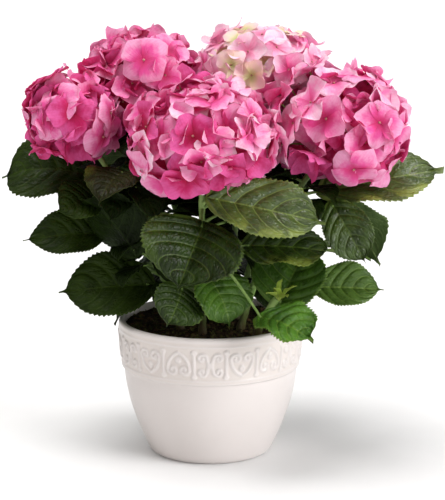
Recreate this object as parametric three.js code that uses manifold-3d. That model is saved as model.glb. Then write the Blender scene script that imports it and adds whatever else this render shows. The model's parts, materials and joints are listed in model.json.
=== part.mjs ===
// Potted mophead hydrangea: a glazed round pot, its compost, seven flowering canes and one young shoot.
// Each cane is three solids: the bare stem, the leafy stem above it and the flower head on its stalk.
// Units are millimetres, +Z is up, -Y is the front; the origin is the centre of the pot's flat underside.

import * as THREE from "three";
import { mergeVertices } from "three/addons/utils/BufferGeometryUtils.js";
import Module from "manifold-3d";

const wasm = await Module();
wasm.setup();

// ---- driving dimensions ----

const GAP = 0.3; // clearance between neighbouring solids
const POT_HEIGHT = 137;
const POT_FOOT_RADIUS = 56; // flat underside
const POT_BELLY_RADIUS = 86.6; // where the wall meets the band
const POT_FLARE = 26.6; // how far the wall draws in towards the foot
const POT_WALL_POWER = 1.63; // how round the wall is
const POT_BAND_Z = 90; // lower edge of the raised band
const POT_BAND_STEP = 2.8; // the band stands this far proud of the wall
const POT_RIM_RADIUS = 92.3;
const POT_WALL = 6;
const POT_FLOOR = 7;
const POT_SIDES = 32;
const SOIL_Z = 126; // level of the compost round the canes
const SOIL_FLAT_RADIUS = 64;
const SOIL_EDGE_Z = 130.4; // its level at the pot's wall, where it is heaped up

const CANE_FOOT_RADIUS = 4.6;
const CANE_RADIUS = 3.7; // above the root flare
const CANE_TIP_RADIUS = 2.4; // under the flower head
const CANE_FLARE = 12; // height of the root flare
const STALK_RADIUS = 1.9; // leaf stalk at the cane
const STALK_TIP_RADIUS = 1.1;
const LEAF_THICKNESS = 2.2; // at the midrib, near the stalk
const LEAF_FOLD = 12; // degrees each half rises from the midrib
const LEAF_STATIONS = [0.08, 0.28, 0.52, 0.76, 0.92];
const LEAF_DRAWS = 12; // tries at each place before it is left empty
const LEAF_CLEARANCE = 8; // least distance between two leaves' sample points
const CANE_CLEARANCE = 11;

const FLORET_RADIUS = 23;
const FLORET_NOTCH = 0.74; // radius between two sepals, as a share of the floret's
const FLORET_THICKNESS = 1.8;
const FLORET_DROOP = 3.5; // how far the sepals' tips fall back towards the core
const PEDICEL_RADIUS = 1.4;
const CORE_SHARE = 0.7; // size of a head's dense core, as a share of the head
const GOLDEN_ANGLE = Math.PI * (3 - Math.sqrt(5));

// Each shoot: where it leaves the compost, the centre and radii of its flower head (or its tip),
// the heights where bare cane turns leafy and where the flower stalk begins, its florets,
// and the heights at which pairs of leaves grow by rule.
const SHOOTS = [
  { name: "left", foot: [-30, -6], top: [-139, -10, 341], head: [53, 54], leafy: 150, stalk: 296,
    florets: 22, seed: 11, pairs: [252, 228, 205, 178] },
  { name: "upper_left", foot: [-16, 18], top: [-73, 45, 374], head: [62, 53], leafy: 175, stalk: 330,
    florets: 22, seed: 23, pairs: [316, 290, 268, 248, 226, 205, 188] },
  { name: "front", foot: [-8, -26], top: [-8, -72, 330], head: [78, 60], leafy: 156, stalk: 278,
    florets: 33, seed: 37, pairs: [240, 214, 190] },
  { name: "right", foot: [30, -8], top: [131, -25, 336], head: [67, 60], leafy: 160, stalk: 284,
    florets: 26, seed: 41, pairs: [240, 214, 190] },
  { name: "top", foot: [14, 16], top: [56, 52, 377], head: [69, 51], leafy: 175, stalk: 334,
    florets: 26, seed: 53, pairs: [326, 300, 276, 250, 228, 206, 188] },
  { name: "back", foot: [-10, 38], top: [-44, 130, 314], head: [60, 50], leafy: 160, stalk: 270,
    florets: 22, seed: 67, pairs: [258, 240, 220, 200, 180] },
  { name: "back_right", foot: [28, 30], top: [98, 124, 314], head: [56, 48], leafy: 160, stalk: 268,
    florets: 20, seed: 79, pairs: [256, 238, 218, 198, 178] },
  { name: "young", foot: [46, -36], top: [66, -64, 172], head: null, leafy: 146, stalk: 172,
    florets: 0, seed: 97, pairs: [] },
];

// Leaves that are set by hand: the node on the cane, the blade's two ends, its width, its roll and arch,
// and its fullness (a higher value moves the widest place towards the tip).
const SET_LEAVES = [
  ["left", 268, [-110, 28, 273], [-212, 46, 272], 72, -55, 0.16, 1.2],
  ["left", 268, [-112, -20, 264], [-150, -46, 254], 50, -40, 0.06, 0.95],
  ["left", 268, [-84, -28, 291], [-108, -74, 270], 56, -8, 0.1, 0.95],
  ["left", 222, [-106, -8, 224], [-186, -18, 218], 52, -32, 0.08, 0.89],
  ["left", 166, [-54, -24, 176], [-150, -36, 170], 70, -55, 0.05, 1.04],
  ["left", 190, [-72, -38, 206], [-126, -46, 271], 64, 38, 0.1, 0.85],
  ["front", 258, [-5, -68, 249], [-31, -112, 189], 107, -10, 0.1, 1.04],
  ["front", 262, [-5, -78, 275], [111, -92, 252], 63, 56, 0.02, 1.11],
  ["right", 262, [104, -24, 267], [232, 4, 286], 74, 42, 0.03, 1.21],
  ["right", 236, [117, -38, 264], [152, -60, 205], 48, 48, 0.1, 1.09],
  ["front", 206, [29, -56, 222], [121, -76, 220], 47, 43, 0.05, 1],
  ["young", 160, [67, -62, 161], [98, -34, 218], 84, 18, 0.06, 0.98],
  ["right", 184, [101, -20, 172], [172, -28, 171], 52, 51, 0.04, 1.03],
  ["front", 222, [43, -85, 157], [99, -118, 140], 65, 4, 0.12, 1.29],
  ["front", 186, [-2, -50, 190], [20, -70, 145], 68, 10, 0.1, 0.78],
  ["front", 172, [-27, -66, 184], [-41, -94, 151], 55, -19, 0.1, 0.99],
  ["left", 190, [-58, 6, 208], [-104, 10, 188], 60, -20, 0.08, 0.95],
  ["right", 250, [82, -44, 264], [98, -74, 242], 44, 6, 0.1, 0.95],
  ["front", 240, [-22, -50, 246], [-60, -58, 211], 48, 6, 0.08, 0.95],
  ["front", 226, [6, -32, 232], [44, -26, 188], 54, 4, 0.08, 0.95],
  ["upper_left", 300, [-46, 10, 288], [-50, -32, 247], 42, 4, 0.1, 0.95],
  ["young", 166, [67, -68, 170], [62, -80, 186], 9, 0, 0.1, 0.9],
  ["young", 168, [70, -66, 172], [84, -72, 186], 9, 0, 0.1, 0.9],
].map(([shoot, node, base, tip, width, roll, arch, fullness]) => (
  { shoot, node, base, tip, width, roll, arch, fullness }
));

// ---- numbers and vectors ----

const radians = (degrees) => (degrees * Math.PI) / 180;
const vec = (x, y, z) => new THREE.Vector3(x, y, z);
const along = (p, dir, distance) => p.clone().addScaledVector(dir, distance);

function seededRandom(seed) {
  let state = seed >>> 0;
  return () => {
    state = (Math.imul(state, 1664525) + 1013904223) >>> 0;
    return state / 4294967296;
  };
}

function smoothstep(low, high, value) {
  const q = Math.min(1, Math.max(0, (value - low) / (high - low)));
  return q * q * (3 - 2 * q);
}

// ---- closed surfaces and solids ----

// Joins point or ring sections, each ring counterclockwise about the way of travel, into a closed surface.
function loft(sections) {
  const positions = [];
  const starts = [];
  const faces = [];
  for (const section of sections) {
    starts.push(positions.length / 3);
    for (const p of section) positions.push(p.x, p.y, p.z);
  }
  for (let k = 0; k + 1 < sections.length; k++) {
    const lower = sections[k].length;
    const upper = sections[k + 1].length;
    const a = starts[k];
    const b = starts[k + 1];
    const count = Math.max(lower, upper);
    for (let i = 0; i < count; i++) {
      const j = (i + 1) % count;
      if (lower > 1) faces.push(a + i, a + j, upper > 1 ? b + j : b);
      if (upper > 1) faces.push(lower > 1 ? a + i : a, b + j, b + i);
    }
  }
  const first = sections[0].length;
  for (let i = 1; i + 1 < first; i++) faces.push(0, i + 1, i);
  const last = sections.at(-1).length;
  const end = starts.at(-1);
  for (let i = 1; i + 1 < last; i++) faces.push(end, end + i, end + i + 1);
  const geometry = new THREE.BufferGeometry();
  geometry.setAttribute("position", new THREE.Float32BufferAttribute(positions, 3));
  geometry.setIndex(faces);
  return geometry;
}

function toSolid(geometry) {
  const bare = geometry.clone();
  bare.deleteAttribute("normal");
  bare.deleteAttribute("uv");
  const merged = mergeVertices(bare, 1e-4);
  return new wasm.Manifold(new wasm.Mesh({
    numProp: 3,
    vertProperties: Float32Array.from(merged.attributes.position.array),
    triVerts: Uint32Array.from(merged.index.array),
  }));
}

// Fused pieces as one body: loose scraps and hollows sealed by the fusing are left behind.
function fuse(solids) {
  let whole = solids[0];
  for (const solid of solids.slice(1)) whole = whole.add(solid);
  const bodies = whole.decompose();
  return bodies.reduce((best, body) => (body.volume() > best.volume() ? body : best)).simplify(0.3);
}

function toMesh(name, solid, material) {
  const { vertProperties, triVerts } = solid.getMesh();
  const geometry = new THREE.BufferGeometry();
  geometry.setAttribute("position", new THREE.Float32BufferAttribute(vertProperties, 3));
  geometry.setIndex([...triVerts]);
  geometry.computeVertexNormals();
  const mesh = new THREE.Mesh(geometry, material);
  mesh.name = name;
  return mesh;
}

// A tapering limb along a list of points, with a radius at each.
function limb(points, radii, sides) {
  const chord = points.at(-1).clone().sub(points[0]);
  const axes = [vec(1, 0, 0), vec(0, 1, 0), vec(0, 0, 1)];
  const leaning = (axis) => Math.abs(axis.dot(chord));
  const side = axes.reduce((best, axis) => (leaning(axis) < leaning(best) ? axis : best));
  const sections = points.map((p, i) => {
    const before = points[Math.max(0, i - 1)];
    const after = points[Math.min(points.length - 1, i + 1)];
    const heading = after.clone().sub(before).normalize();
    const u = heading.clone().cross(side).normalize();
    const v = heading.clone().cross(u);
    return Array.from({ length: sides }, (_, k) => {
      const angle = (2 * Math.PI * k) / sides;
      return along(along(p, u, radii[i] * Math.cos(angle)), v, radii[i] * Math.sin(angle));
    });
  });
  return loft(sections);
}

// ---- canes ----

// The cane's centre line leaves the compost steeply and bends outwards; this gives its point at a height.
function canePoint(shoot, z) {
  const [fx, fy] = shoot.foot;
  const [tx, ty, tz] = shoot.top;
  const share = (z - SOIL_Z) / (tz - SOIL_Z);
  const t = (1.1 - Math.sqrt(1.21 - 0.4 * share)) / 0.2;
  const bend = 0.56 * t * (1 - t) + t * t;
  return vec(fx + (tx - fx) * bend, fy + (ty - fy) * bend, z);
}

function caneRadius(shoot, z) {
  const share = (z - SOIL_Z) / (shoot.top[2] - SOIL_Z);
  const flare = 1 - smoothstep(0, CANE_FLARE, z - SOIL_Z);
  return CANE_RADIUS + (CANE_TIP_RADIUS - CANE_RADIUS) * share + (CANE_FOOT_RADIUS - CANE_RADIUS) * flare;
}

function caneSolid(shoot, from, to, sides) {
  const steps = Math.max(2, Math.round((to - from) / 24));
  const heights = Array.from({ length: steps + 1 }, (_, i) => from + ((to - from) * i) / steps);
  const points = heights.map((z) => canePoint(shoot, z));
  const radii = heights.map((z) => caneRadius(shoot, z));
  const geometry = limb(points, radii, sides);
  // both ends are level cuts, so neighbouring lengths of one cane meet face to face
  const position = geometry.attributes.position;
  for (let k = 0; k < sides; k++) {
    position.setZ(k, from);
    position.setZ(steps * sides + k, to);
  }
  return toSolid(geometry);
}

// ---- leaves ----

function leafHalfWidth(leaf, t) {
  if (t <= 0 || t >= 1) return 0;
  const oval = Math.pow(Math.sin(Math.PI * Math.pow(t, leaf.fullness)), 0.62);
  return (leaf.width / 2) * oval * (1 - 0.6 * smoothstep(0.88, 1, t));
}

// The blade's own frame: along its chord, across it and out of its upper face.
function leafFrame(leaf) {
  const base = vec(...leaf.base);
  const chord = vec(...leaf.tip).sub(base);
  const length = chord.length();
  const heading = chord.clone().normalize();
  const level = vec(0, 0, 1).cross(heading).normalize();
  const up = heading.clone().cross(level);
  const roll = radians(leaf.roll);
  const across = level.clone().multiplyScalar(Math.cos(roll)).addScaledVector(up, Math.sin(roll));
  const out = up.clone().multiplyScalar(Math.cos(roll)).addScaledVector(level, -Math.sin(roll));
  return { base, chord, length, across, out };
}

// A point of the blade: t runs from stalk to tip, s from one edge (-1) to the other (1).
function leafPoint(leaf, frame, t, s) {
  const half = leafHalfWidth(leaf, t);
  const fold = radians(LEAF_FOLD);
  const p = frame.base.clone().addScaledVector(frame.chord, t);
  p.addScaledVector(frame.out, leaf.arch * frame.length * 4 * t * (1 - t));
  p.addScaledVector(frame.across, s * half * Math.cos(fold));
  p.addScaledVector(frame.out, Math.abs(s) * half * Math.sin(fold));
  return p;
}

function stalkPoints(shoot, leaf) {
  const frame = leafFrame(leaf);
  const start = canePoint(shoot, leaf.node);
  const end = leafPoint(leaf, frame, 0.1, 0);
  const middle = start.clone().lerp(end, 0.5);
  middle.z += 0.1 * start.distanceTo(end);
  return new THREE.QuadraticBezierCurve3(start, middle, end).getPoints(3);
}

function leafSolid(shoot, leaf) {
  const frame = leafFrame(leaf);
  const sections = LEAF_STATIONS.map((t) => {
    const thick = LEAF_THICKNESS * (1 - 0.45 * t);
    const spine = leafPoint(leaf, frame, t, 0);
    return [
      leafPoint(leaf, frame, t, 1),
      along(spine, frame.out, 0.45 * thick),
      leafPoint(leaf, frame, t, -1),
      along(spine, frame.out, -0.55 * thick),
    ];
  });
  const blade = loft([[leafPoint(leaf, frame, 0, 0)], ...sections, [leafPoint(leaf, frame, 1, 0)]]);
  const points = stalkPoints(shoot, leaf);
  const taper = (STALK_TIP_RADIUS - STALK_RADIUS) / (points.length - 1);
  const radii = points.map((_, i) => STALK_RADIUS + taper * i);
  return toSolid(blade).add(toSolid(limb(points, radii, 3)));
}

// Sample points of the blade and its stalk, with which the growing rule keeps leaves apart.
function leafSamples(shoot, leaf) {
  const frame = leafFrame(leaf);
  const samples = [];
  for (const t of [0.08, 0.22, 0.36, 0.5, 0.64, 0.78, 0.94]) {
    for (const s of [-1, -0.5, 0, 0.5, 1]) samples.push(leafPoint(leaf, frame, t, s));
  }
  return samples.concat(stalkPoints(shoot, leaf).slice(2));
}

function insideHead(p, shoot, scale) {
  if (!shoot.head) return false;
  const [wide, high] = shoot.head;
  const d = p.clone().sub(vec(...shoot.top));
  return Math.hypot(d.x / wide, d.y / wide, d.z / high) < scale;
}

function clearOfCanes(p, own) {
  return SHOOTS.every((shoot) => {
    const topZ = Math.min(p.z, shoot.top[2]);
    return shoot.name === own || canePoint(shoot, Math.max(SOIL_Z, topZ)).distanceTo(p) > CANE_CLEARANCE;
  });
}

// The front belongs to the leaves set by hand.
function behindFront(p) {
  return p.y > -40;
}

function clearOfPot(p) {
  const r = Math.hypot(p.x, p.y);
  return r < POT_RIM_RADIUS + 4 ? p.z > POT_HEIGHT + 4 : p.z > 100;
}

// Opposite pairs, each turned a quarter from the pair below; a leaf without room of its own is skipped.
function grownLeaves(shoot, taken) {
  const random = seededRandom(shoot.seed);
  const lean = Math.atan2(shoot.top[1] - shoot.foot[1], shoot.top[0] - shoot.foot[0]);
  const grown = [];
  shoot.pairs.forEach((node, k) => {
    const done = [false, false];
    for (let draw = 0; draw < 2 * LEAF_DRAWS; draw++) {
      const side = draw % 2;
      if (done[side]) continue;
      const azimuth = lean + radians(45 + 90 * k + 180 * side + 70 * (random() - 0.5));
      const stalk = 20 + 16 * random();
      const length = 72 + 34 * random();
      const pitch = radians(12 - 52 * random());
      const outward = vec(Math.cos(azimuth), Math.sin(azimuth), 0);
      const base = along(canePoint(shoot, node), outward, stalk).add(vec(0, 0, 0.35 * stalk));
      const tip = along(base, outward, length * Math.cos(pitch)).add(vec(0, 0, length * Math.sin(pitch)));
      const leaf = {
        shoot: shoot.name,
        node,
        base: base.toArray(),
        tip: tip.toArray(),
        width: length * (0.66 + 0.1 * random()),
        roll: 50 * (random() - 0.5),
        arch: 0.07 + 0.05 * random(),
        fullness: 1.05,
      };
      const samples = leafSamples(shoot, leaf);
      const roomy = samples.every((p) => behindFront(p) && clearOfPot(p) && clearOfCanes(p, shoot.name)
        && !SHOOTS.some((other) => insideHead(p, other, 0.92))
        && taken.every((q) => q.distanceTo(p) > LEAF_CLEARANCE));
      if (roomy) {
        taken.push(...samples);
        grown.push(leaf);
        done[side] = true;
      }
    }
  });
  return grown;
}

// ---- flower heads ----

// One floret: four broad sepals as an eight-cornered lens, on a thin stalk sunk in the core.
function floretSolid(shoot, centre, facing, spin) {
  const u = facing.clone().cross(Math.abs(facing.z) < 0.9 ? vec(0, 0, 1) : vec(1, 0, 0)).normalize();
  const v = facing.clone().cross(u);
  const rim = Array.from({ length: 8 }, (_, k) => {
    const angle = spin + (Math.PI * k) / 4;
    const reach = FLORET_RADIUS * (k % 2 ? FLORET_NOTCH : 1);
    const p = along(centre, facing, -FLORET_DROOP * (k % 2 ? 0.5 : 1));
    return along(along(p, u, reach * Math.cos(angle)), v, reach * Math.sin(angle));
  });
  const below = along(centre, facing, -FLORET_THICKNESS);
  const lens = loft([[below], rim, [centre]]);
  const root = vec(...shoot.top).lerp(centre, CORE_SHARE * 0.92);
  const neck = along(centre, facing, -0.5 * FLORET_THICKNESS);
  const pedicel = limb([root, neck], [PEDICEL_RADIUS, PEDICEL_RADIUS], 3);
  return toSolid(lens).add(toSolid(pedicel));
}

function headSolid(shoot, leafPoints, neighbours) {
  const random = seededRandom(shoot.seed + 500);
  const [wide, high] = shoot.head;
  const centre = vec(...shoot.top);
  const core = new THREE.SphereGeometry(CORE_SHARE, 9, 6).rotateX(Math.PI / 2);
  core.scale(wide, wide, high).translate(...shoot.top);
  const pieces = [caneSolid(shoot, shoot.stalk + GAP, shoot.top[2] - 0.4 * high, 6), toSolid(core)];
  const lowest = Math.cos(radians(135));
  for (let i = 0; i < shoot.florets; i++) {
    const up = 1 - ((i + 0.5) / shoot.florets) * (1 - lowest);
    const ring = Math.sqrt(1 - up * up);
    const turn = i * GOLDEN_ANGLE + shoot.seed;
    const reach = 0.95 + 0.05 * random();
    const offset = vec(wide * ring * Math.cos(turn), wide * ring * Math.sin(turn), high * up);
    const facing = vec(offset.x / wide ** 2, offset.y / wide ** 2, offset.z / high ** 2).normalize();
    facing.add(vec(random() - 0.5, random() - 0.5, random() - 0.5).multiplyScalar(0.24)).normalize();
    const spin = 2 * Math.PI * random();
    const place = along(centre, offset, reach);
    const crowded = SHOOTS.some((other) => other !== shoot && insideHead(place, other, 0.96))
      || leafPoints.some((p) => p.distanceTo(place) < 0.55 * FLORET_RADIUS);
    if (crowded) continue;
    const floret = floretSolid(shoot, place, facing, spin);
    if (neighbours.every((solid) => floret.minGap(solid, 2 * GAP) > GAP)) pieces.push(floret);
  }
  return fuse(pieces);
}

// ---- pot and compost ----

function potWallRadius(z) {
  return POT_BELLY_RADIUS - POT_FLARE * Math.pow(Math.max(0, 1 - z / (POT_BAND_Z - 4)), POT_WALL_POWER);
}

function lathe(profile) {
  const points = profile.map(([r, z]) => new THREE.Vector2(r, z));
  return toSolid(new THREE.LatheGeometry(points, POT_SIDES).rotateX(Math.PI / 2));
}

const outerHeights = [2.2, 6, 14.5, 29, 41, 54, 68, 84];
const innerHeights = [86, 68, 41, 20];
const bandRadius = POT_BELLY_RADIUS + POT_BAND_STEP;
const innerWall = [
  [POT_RIM_RADIUS - POT_WALL - 0.7, POT_HEIGHT - 4],
  [bandRadius - POT_WALL, POT_BAND_Z + 10],
  ...innerHeights.map((z) => [potWallRadius(z) - POT_WALL, z]),
  [POT_FOOT_RADIUS - 2, POT_FLOOR],
];
const pot = lathe([
  [0, 0],
  [POT_FOOT_RADIUS, 0],
  ...outerHeights.map((z) => [potWallRadius(z), z]),
  [POT_BELLY_RADIUS, POT_BAND_Z - 2],
  [bandRadius, POT_BAND_Z + 0.5],
  [bandRadius + 1.2, POT_BAND_Z + 18],
  [POT_RIM_RADIUS, POT_HEIGHT - 5],
  [POT_RIM_RADIUS - 0.9, POT_HEIGHT - 1.2],
  [POT_RIM_RADIUS - 3.3, POT_HEIGHT],
  [POT_RIM_RADIUS - 5.5, POT_HEIGHT - 1],
  ...innerWall,
  [0, POT_FLOOR],
]);

const soilEdge = innerWall[0][0] - 0.6;
const soil = lathe([
  [0, POT_FLOOR + GAP],
  [POT_FOOT_RADIUS - 2 - GAP, POT_FLOOR + GAP],
  ...innerHeights.toReversed().map((z) => [potWallRadius(z) - POT_WALL - GAP, z]),
  [bandRadius - POT_WALL - GAP, POT_BAND_Z + 10],
  [soilEdge, SOIL_EDGE_Z],
  [(soilEdge + SOIL_FLAT_RADIUS) / 2, SOIL_EDGE_Z - 2],
  [SOIL_FLAT_RADIUS, SOIL_Z],
  [0, SOIL_Z],
]);

// ---- the plant ----

function material(color, roughness) {
  return new THREE.MeshStandardMaterial({ color, roughness, metalness: 0, flatShading: true });
}

const glaze = material("#dcd6cf", 0.2);
const compost = material("#3d2c1e", 0.95);
const cane = material("#7f9a4c", 0.6);
const leafGreen = material("#2f5a26", 0.45);
const petalPink = material("#dd5f9b", 0.55);
const petalPale = material("#efb3cc", 0.55);

const plant = new THREE.Group();
plant.add(toMesh("pot", pot, glaze));
plant.add(toMesh("soil", soil, compost));

const leafPoints = [];
const setLeaves = (shoot) => SET_LEAVES.filter((leaf) => leaf.shoot === shoot.name);
for (const shoot of SHOOTS) {
  for (const leaf of setLeaves(shoot)) leafPoints.push(...leafSamples(shoot, leaf));
}

const foliage = SHOOTS.map((shoot) => {
  const leaves = [...setLeaves(shoot), ...grownLeaves(shoot, leafPoints)];
  const stem = caneSolid(shoot, shoot.leafy + GAP, shoot.stalk, 6);
  return fuse([stem, ...leaves.map((leaf) => leafSolid(shoot, leaf))]);
});

const built = [...foliage];
SHOOTS.forEach((shoot, i) => {
  plant.add(toMesh(`${shoot.name}_stem`, caneSolid(shoot, SOIL_Z + GAP, shoot.leafy, 8), cane));
  plant.add(toMesh(`${shoot.name}_foliage`, foliage[i], leafGreen));
  if (!shoot.head) return;
  const head = headSolid(shoot, leafPoints, built);
  built.push(head);
  plant.add(toMesh(`${shoot.name}_flower_head`, head, shoot.name === "top" ? petalPale : petalPink));
});

export default plant;
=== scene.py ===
import itertools
import json
import math

import bpy
import numpy as np
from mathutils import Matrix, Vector

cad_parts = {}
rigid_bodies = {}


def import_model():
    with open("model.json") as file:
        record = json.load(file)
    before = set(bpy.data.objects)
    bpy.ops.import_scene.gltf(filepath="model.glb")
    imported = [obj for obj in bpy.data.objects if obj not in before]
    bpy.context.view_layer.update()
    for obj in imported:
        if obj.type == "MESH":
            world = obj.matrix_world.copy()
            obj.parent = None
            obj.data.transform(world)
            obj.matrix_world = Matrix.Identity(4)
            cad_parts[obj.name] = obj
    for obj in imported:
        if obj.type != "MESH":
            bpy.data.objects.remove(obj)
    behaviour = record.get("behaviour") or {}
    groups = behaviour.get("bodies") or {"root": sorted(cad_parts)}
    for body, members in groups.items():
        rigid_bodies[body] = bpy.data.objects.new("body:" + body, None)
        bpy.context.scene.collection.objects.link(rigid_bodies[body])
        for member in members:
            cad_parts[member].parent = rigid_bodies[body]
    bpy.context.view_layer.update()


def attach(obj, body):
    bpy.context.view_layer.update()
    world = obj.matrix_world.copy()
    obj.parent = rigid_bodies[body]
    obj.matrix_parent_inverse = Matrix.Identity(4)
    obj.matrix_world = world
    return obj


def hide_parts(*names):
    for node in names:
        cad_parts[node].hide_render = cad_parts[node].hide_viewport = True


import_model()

# ---- Glazed pot ----
# A slip-cast stoneware cover pot under a warm white gloss glaze. Its wall swells up from a flat foot
# to a ledge, and the band above the ledge is pressed with scrolls and hearts parted by upright bars.

POT_COLUMNS = 800
POT_BELLY_RADIUS = 86.6  # millimetres, as all sizes here
POT_FLARE = 26.6  # how far the wall draws in towards the foot
POT_LEDGE_Z = 86.0
BAND_LOW_Z, BAND_HIGH_Z = 91, 132
BAND_RADIUS = 91.0  # halfway up the band
MOTIFS = 18  # round the band, in threes: scrolls back to back, a heart of scrolls, the heart turned over
MOTIF_WIDTH = 2 * math.pi * BAND_RADIUS / MOTIFS
MOTIF_MIDDLE_Z = 110.5
MOTIF_PROUD = 1.6
STROKE_HALF_WIDTH = 1.5
BORDER_HEIGHTS = (93.4, 128.4)  # of the two thin raised lines that edge the ornament
BORDER_PROUD = 0.45


def mesh_piece(name, points, faces, materials, face_materials=None, smooth=True):
    """Makes a piece from points in millimetres. Its object stays at the origin."""
    mesh = bpy.data.meshes.new(name)
    mesh.from_pydata(np.asarray(points, float) * 0.001, [], faces)
    for material in materials:
        mesh.materials.append(material)
    if face_materials is not None:
        mesh.polygons.foreach_set("material_index", np.asarray(face_materials, np.int32))
    mesh.polygons.foreach_set("use_smooth", np.full(len(mesh.polygons), smooth))
    mesh.update()
    piece = bpy.data.objects.new(name, mesh)
    bpy.context.collection.objects.link(piece)
    return piece


def store(mesh, name, kind, values, domain="POINT"):
    """Keeps values on a mesh as a named attribute."""
    attribute = mesh.attributes.new(name, kind, domain)
    attribute.data.foreach_set("vector" if kind == "FLOAT_VECTOR" else "value", np.asarray(values).ravel())


def smoothstep(low, high, value):
    """0 below low, 1 above high, and an even curve between them."""
    q = np.clip((np.asarray(value, float) - low) / (high - low), 0.0, 1.0)
    return q * q * (3.0 - 2.0 * q)


def arc(x, z, wide, high, start, end):
    """Part of an oval, between two angles in degrees."""
    turn = np.radians(np.linspace(start, end, 22))
    return np.stack([x + wide * np.cos(turn), z + high * np.sin(turn)], 1)


def volute(x, z, wide, high, start, sweep):
    """A curl that winds inwards to a small eye."""
    share = np.linspace(0, 1, 30)
    turn = np.radians(start + sweep * share)
    shrink = 1 - 0.82 * share ** 1.1
    return np.stack([x + wide * shrink * np.cos(turn), z + high * shrink * np.sin(turn)], 1)


def motif_strokes(kind):
    """Centre lines of a motif and of the bar on its right, in millimetres from the motif's middle."""
    half = MOTIF_WIDTH / 2
    strokes = [np.array([[half, -11.0], [half, 11.0]])]
    strokes += [arc(half, z, 1.3, 1.1, 0, 360) for z in (12.4, -12.4)]
    flip = -1 if kind == 2 else 1
    share = np.linspace(0, 1, 12)[:, None]
    for side in (-1, 1):
        if kind == 0:
            back = np.array([(3.2, 6.8), (2.2, 3.0), (0.4, 0.0), (2.2, -3.0), (3.2, -7.0)])
            strokes.append(volute(8.0 * side, 6.8, 4.8 * side, 5.0, 180, -375))
            strokes.append(volute(8.0 * side, -7.0, 4.8 * side, 4.8, 180, 375))
            strokes.append(back * [side, 1])
        else:
            start, knee, end = np.array([(0, -11.8), (10.6, -7.0), (11.5, 5.6)]) * [side, flip]
            strokes.append(volute(5.9 * side, 5.6 * flip, 5.6 * side, 5.4 * flip, 0, 375))
            strokes.append((1 - share) ** 2 * start + 2 * share * (1 - share) * knee + share ** 2 * end)
    bead = arc(0, 0, 2.0, 2.0, 0, 360) if kind == 0 else arc(0, -4.2 * flip, 1.5, 2.0, 0, 360)
    return strokes + [bead]


def distance_to_strokes(points, strokes):
    """How far each point is from the nearest of the lines."""
    nearest = np.full(len(points), 99.0)
    for line in strokes:
        for a, b in zip(line[:-1], line[1:]):
            edge = b - a
            share = np.clip(((points - a) @ edge) / max(edge @ edge, 1e-9), 0, 1)
            gap = np.linalg.norm(points - (a + share[:, None] * edge), axis=1)
            nearest = np.minimum(nearest, gap)
    return nearest


def band_relief(turn, height):
    """How far the scrolls and the border lines stand out of the band, at angles in radians and heights."""
    cell = 2 * math.pi / MOTIFS
    from_front = (turn + math.pi / 2 + cell / 2) % (2 * math.pi)
    index = np.floor(from_front / cell).astype(int)
    across = (from_front - (index + 0.5) * cell) * BAND_RADIUS
    up = height - MOTIF_MIDDLE_Z
    relief = np.zeros(len(turn))
    for kind in range(3):
        mine = index % 3 == kind
        here = np.stack([across[mine], up[mine]], 1)
        left_bar = [line - np.array([MOTIF_WIDTH, 0]) for line in motif_strokes(kind)[:3]]
        gap = distance_to_strokes(here, motif_strokes(kind) + left_bar)
        relief[mine] = 1 - smoothstep(0.35 * STROKE_HALF_WIDTH, 1.5 * STROKE_HALF_WIDTH, gap)
    worn = 0.86 + 0.14 * np.sin(5.3 * turn + 0.11 * height) * np.sin(11.7 * turn - 0.2 * height)
    lines = sum(1 - smoothstep(0.5, 1.7, np.abs(height - z)) for z in BORDER_HEIGHTS)
    return MOTIF_PROUD * relief * worn, BORDER_PROUD * lines


wall_heights = np.concatenate([[3.6, 5.5, 8.5], np.linspace(12, POT_LEDGE_Z, 21)])
wall = [(POT_BELLY_RADIUS - POT_FLARE * max(0.0, 1 - z / POT_LEDGE_Z) ** 1.63, z) for z in wall_heights]
band_heights = np.linspace(91.4, 131.4, 46)
band = [(89.5 + 2.7 * smoothstep(BAND_LOW_Z, BAND_HIGH_Z, z), z) for z in band_heights]
outside = [(30, 0), (52, 0), (55.6, 0.0), (57.6, 0.35), (59.4, 1.2), (60.7, 2.3), *wall,
           (86.7, 87.6), (87.2, 88.5), (88.3, 89.0), (89.2, 89.6), (89.5, 90.4), *band,
           (92.25, 132.6), (92.2, 134.0), (91.8, 135.3), (90.9, 136.4), (89.5, 136.95), (88.1, 136.9),
           (87.0, 136.2), (86.2, 135.0), (85.8, 133.2)]
inside = [(85.0, 126), (84.0, 112), (83.4, 100), (81.5, 92), (80.4, 84), (76.4, 60), (70.5, 40),
          (62.5, 20), (56, 9.5), (52, 7.2), (26, 7)]
profile = np.array(outside + inside)
turns = np.arange(POT_COLUMNS) * 2 * math.pi / POT_COLUMNS
rows = len(profile)
ring_turn = np.tile(turns, rows)
ring_height = np.repeat(profile[:, 1], POT_COLUMNS)
radius = np.repeat(profile[:, 0], POT_COLUMNS)
pressed = np.zeros(rows * POT_COLUMNS)
on_band = np.repeat([BAND_LOW_Z < z < BAND_HIGH_Z and r > 89 for r, z in profile], POT_COLUMNS)
scrolls, lines = band_relief(ring_turn[on_band], ring_height[on_band])
pressed[on_band] = scrolls + lines
hand_made = 0.25 * np.sin(2 * ring_turn + 0.6) * smoothstep(0, 60, ring_height)
radius = radius + pressed + hand_made
points = np.stack([radius * np.cos(ring_turn), radius * np.sin(ring_turn), ring_height], 1)
points = np.concatenate([points, [[0, 0, 0], [0, 0, 7]]])
faces = []
for k in range(rows - 1):
    low, high = k * POT_COLUMNS, (k + 1) * POT_COLUMNS
    for i in range(POT_COLUMNS):
        j = (i + 1) % POT_COLUMNS
        faces.append((low + i, low + j, high + j, high + i))
foot_middle, floor_middle = rows * POT_COLUMNS, rows * POT_COLUMNS + 1
last = (rows - 1) * POT_COLUMNS
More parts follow.
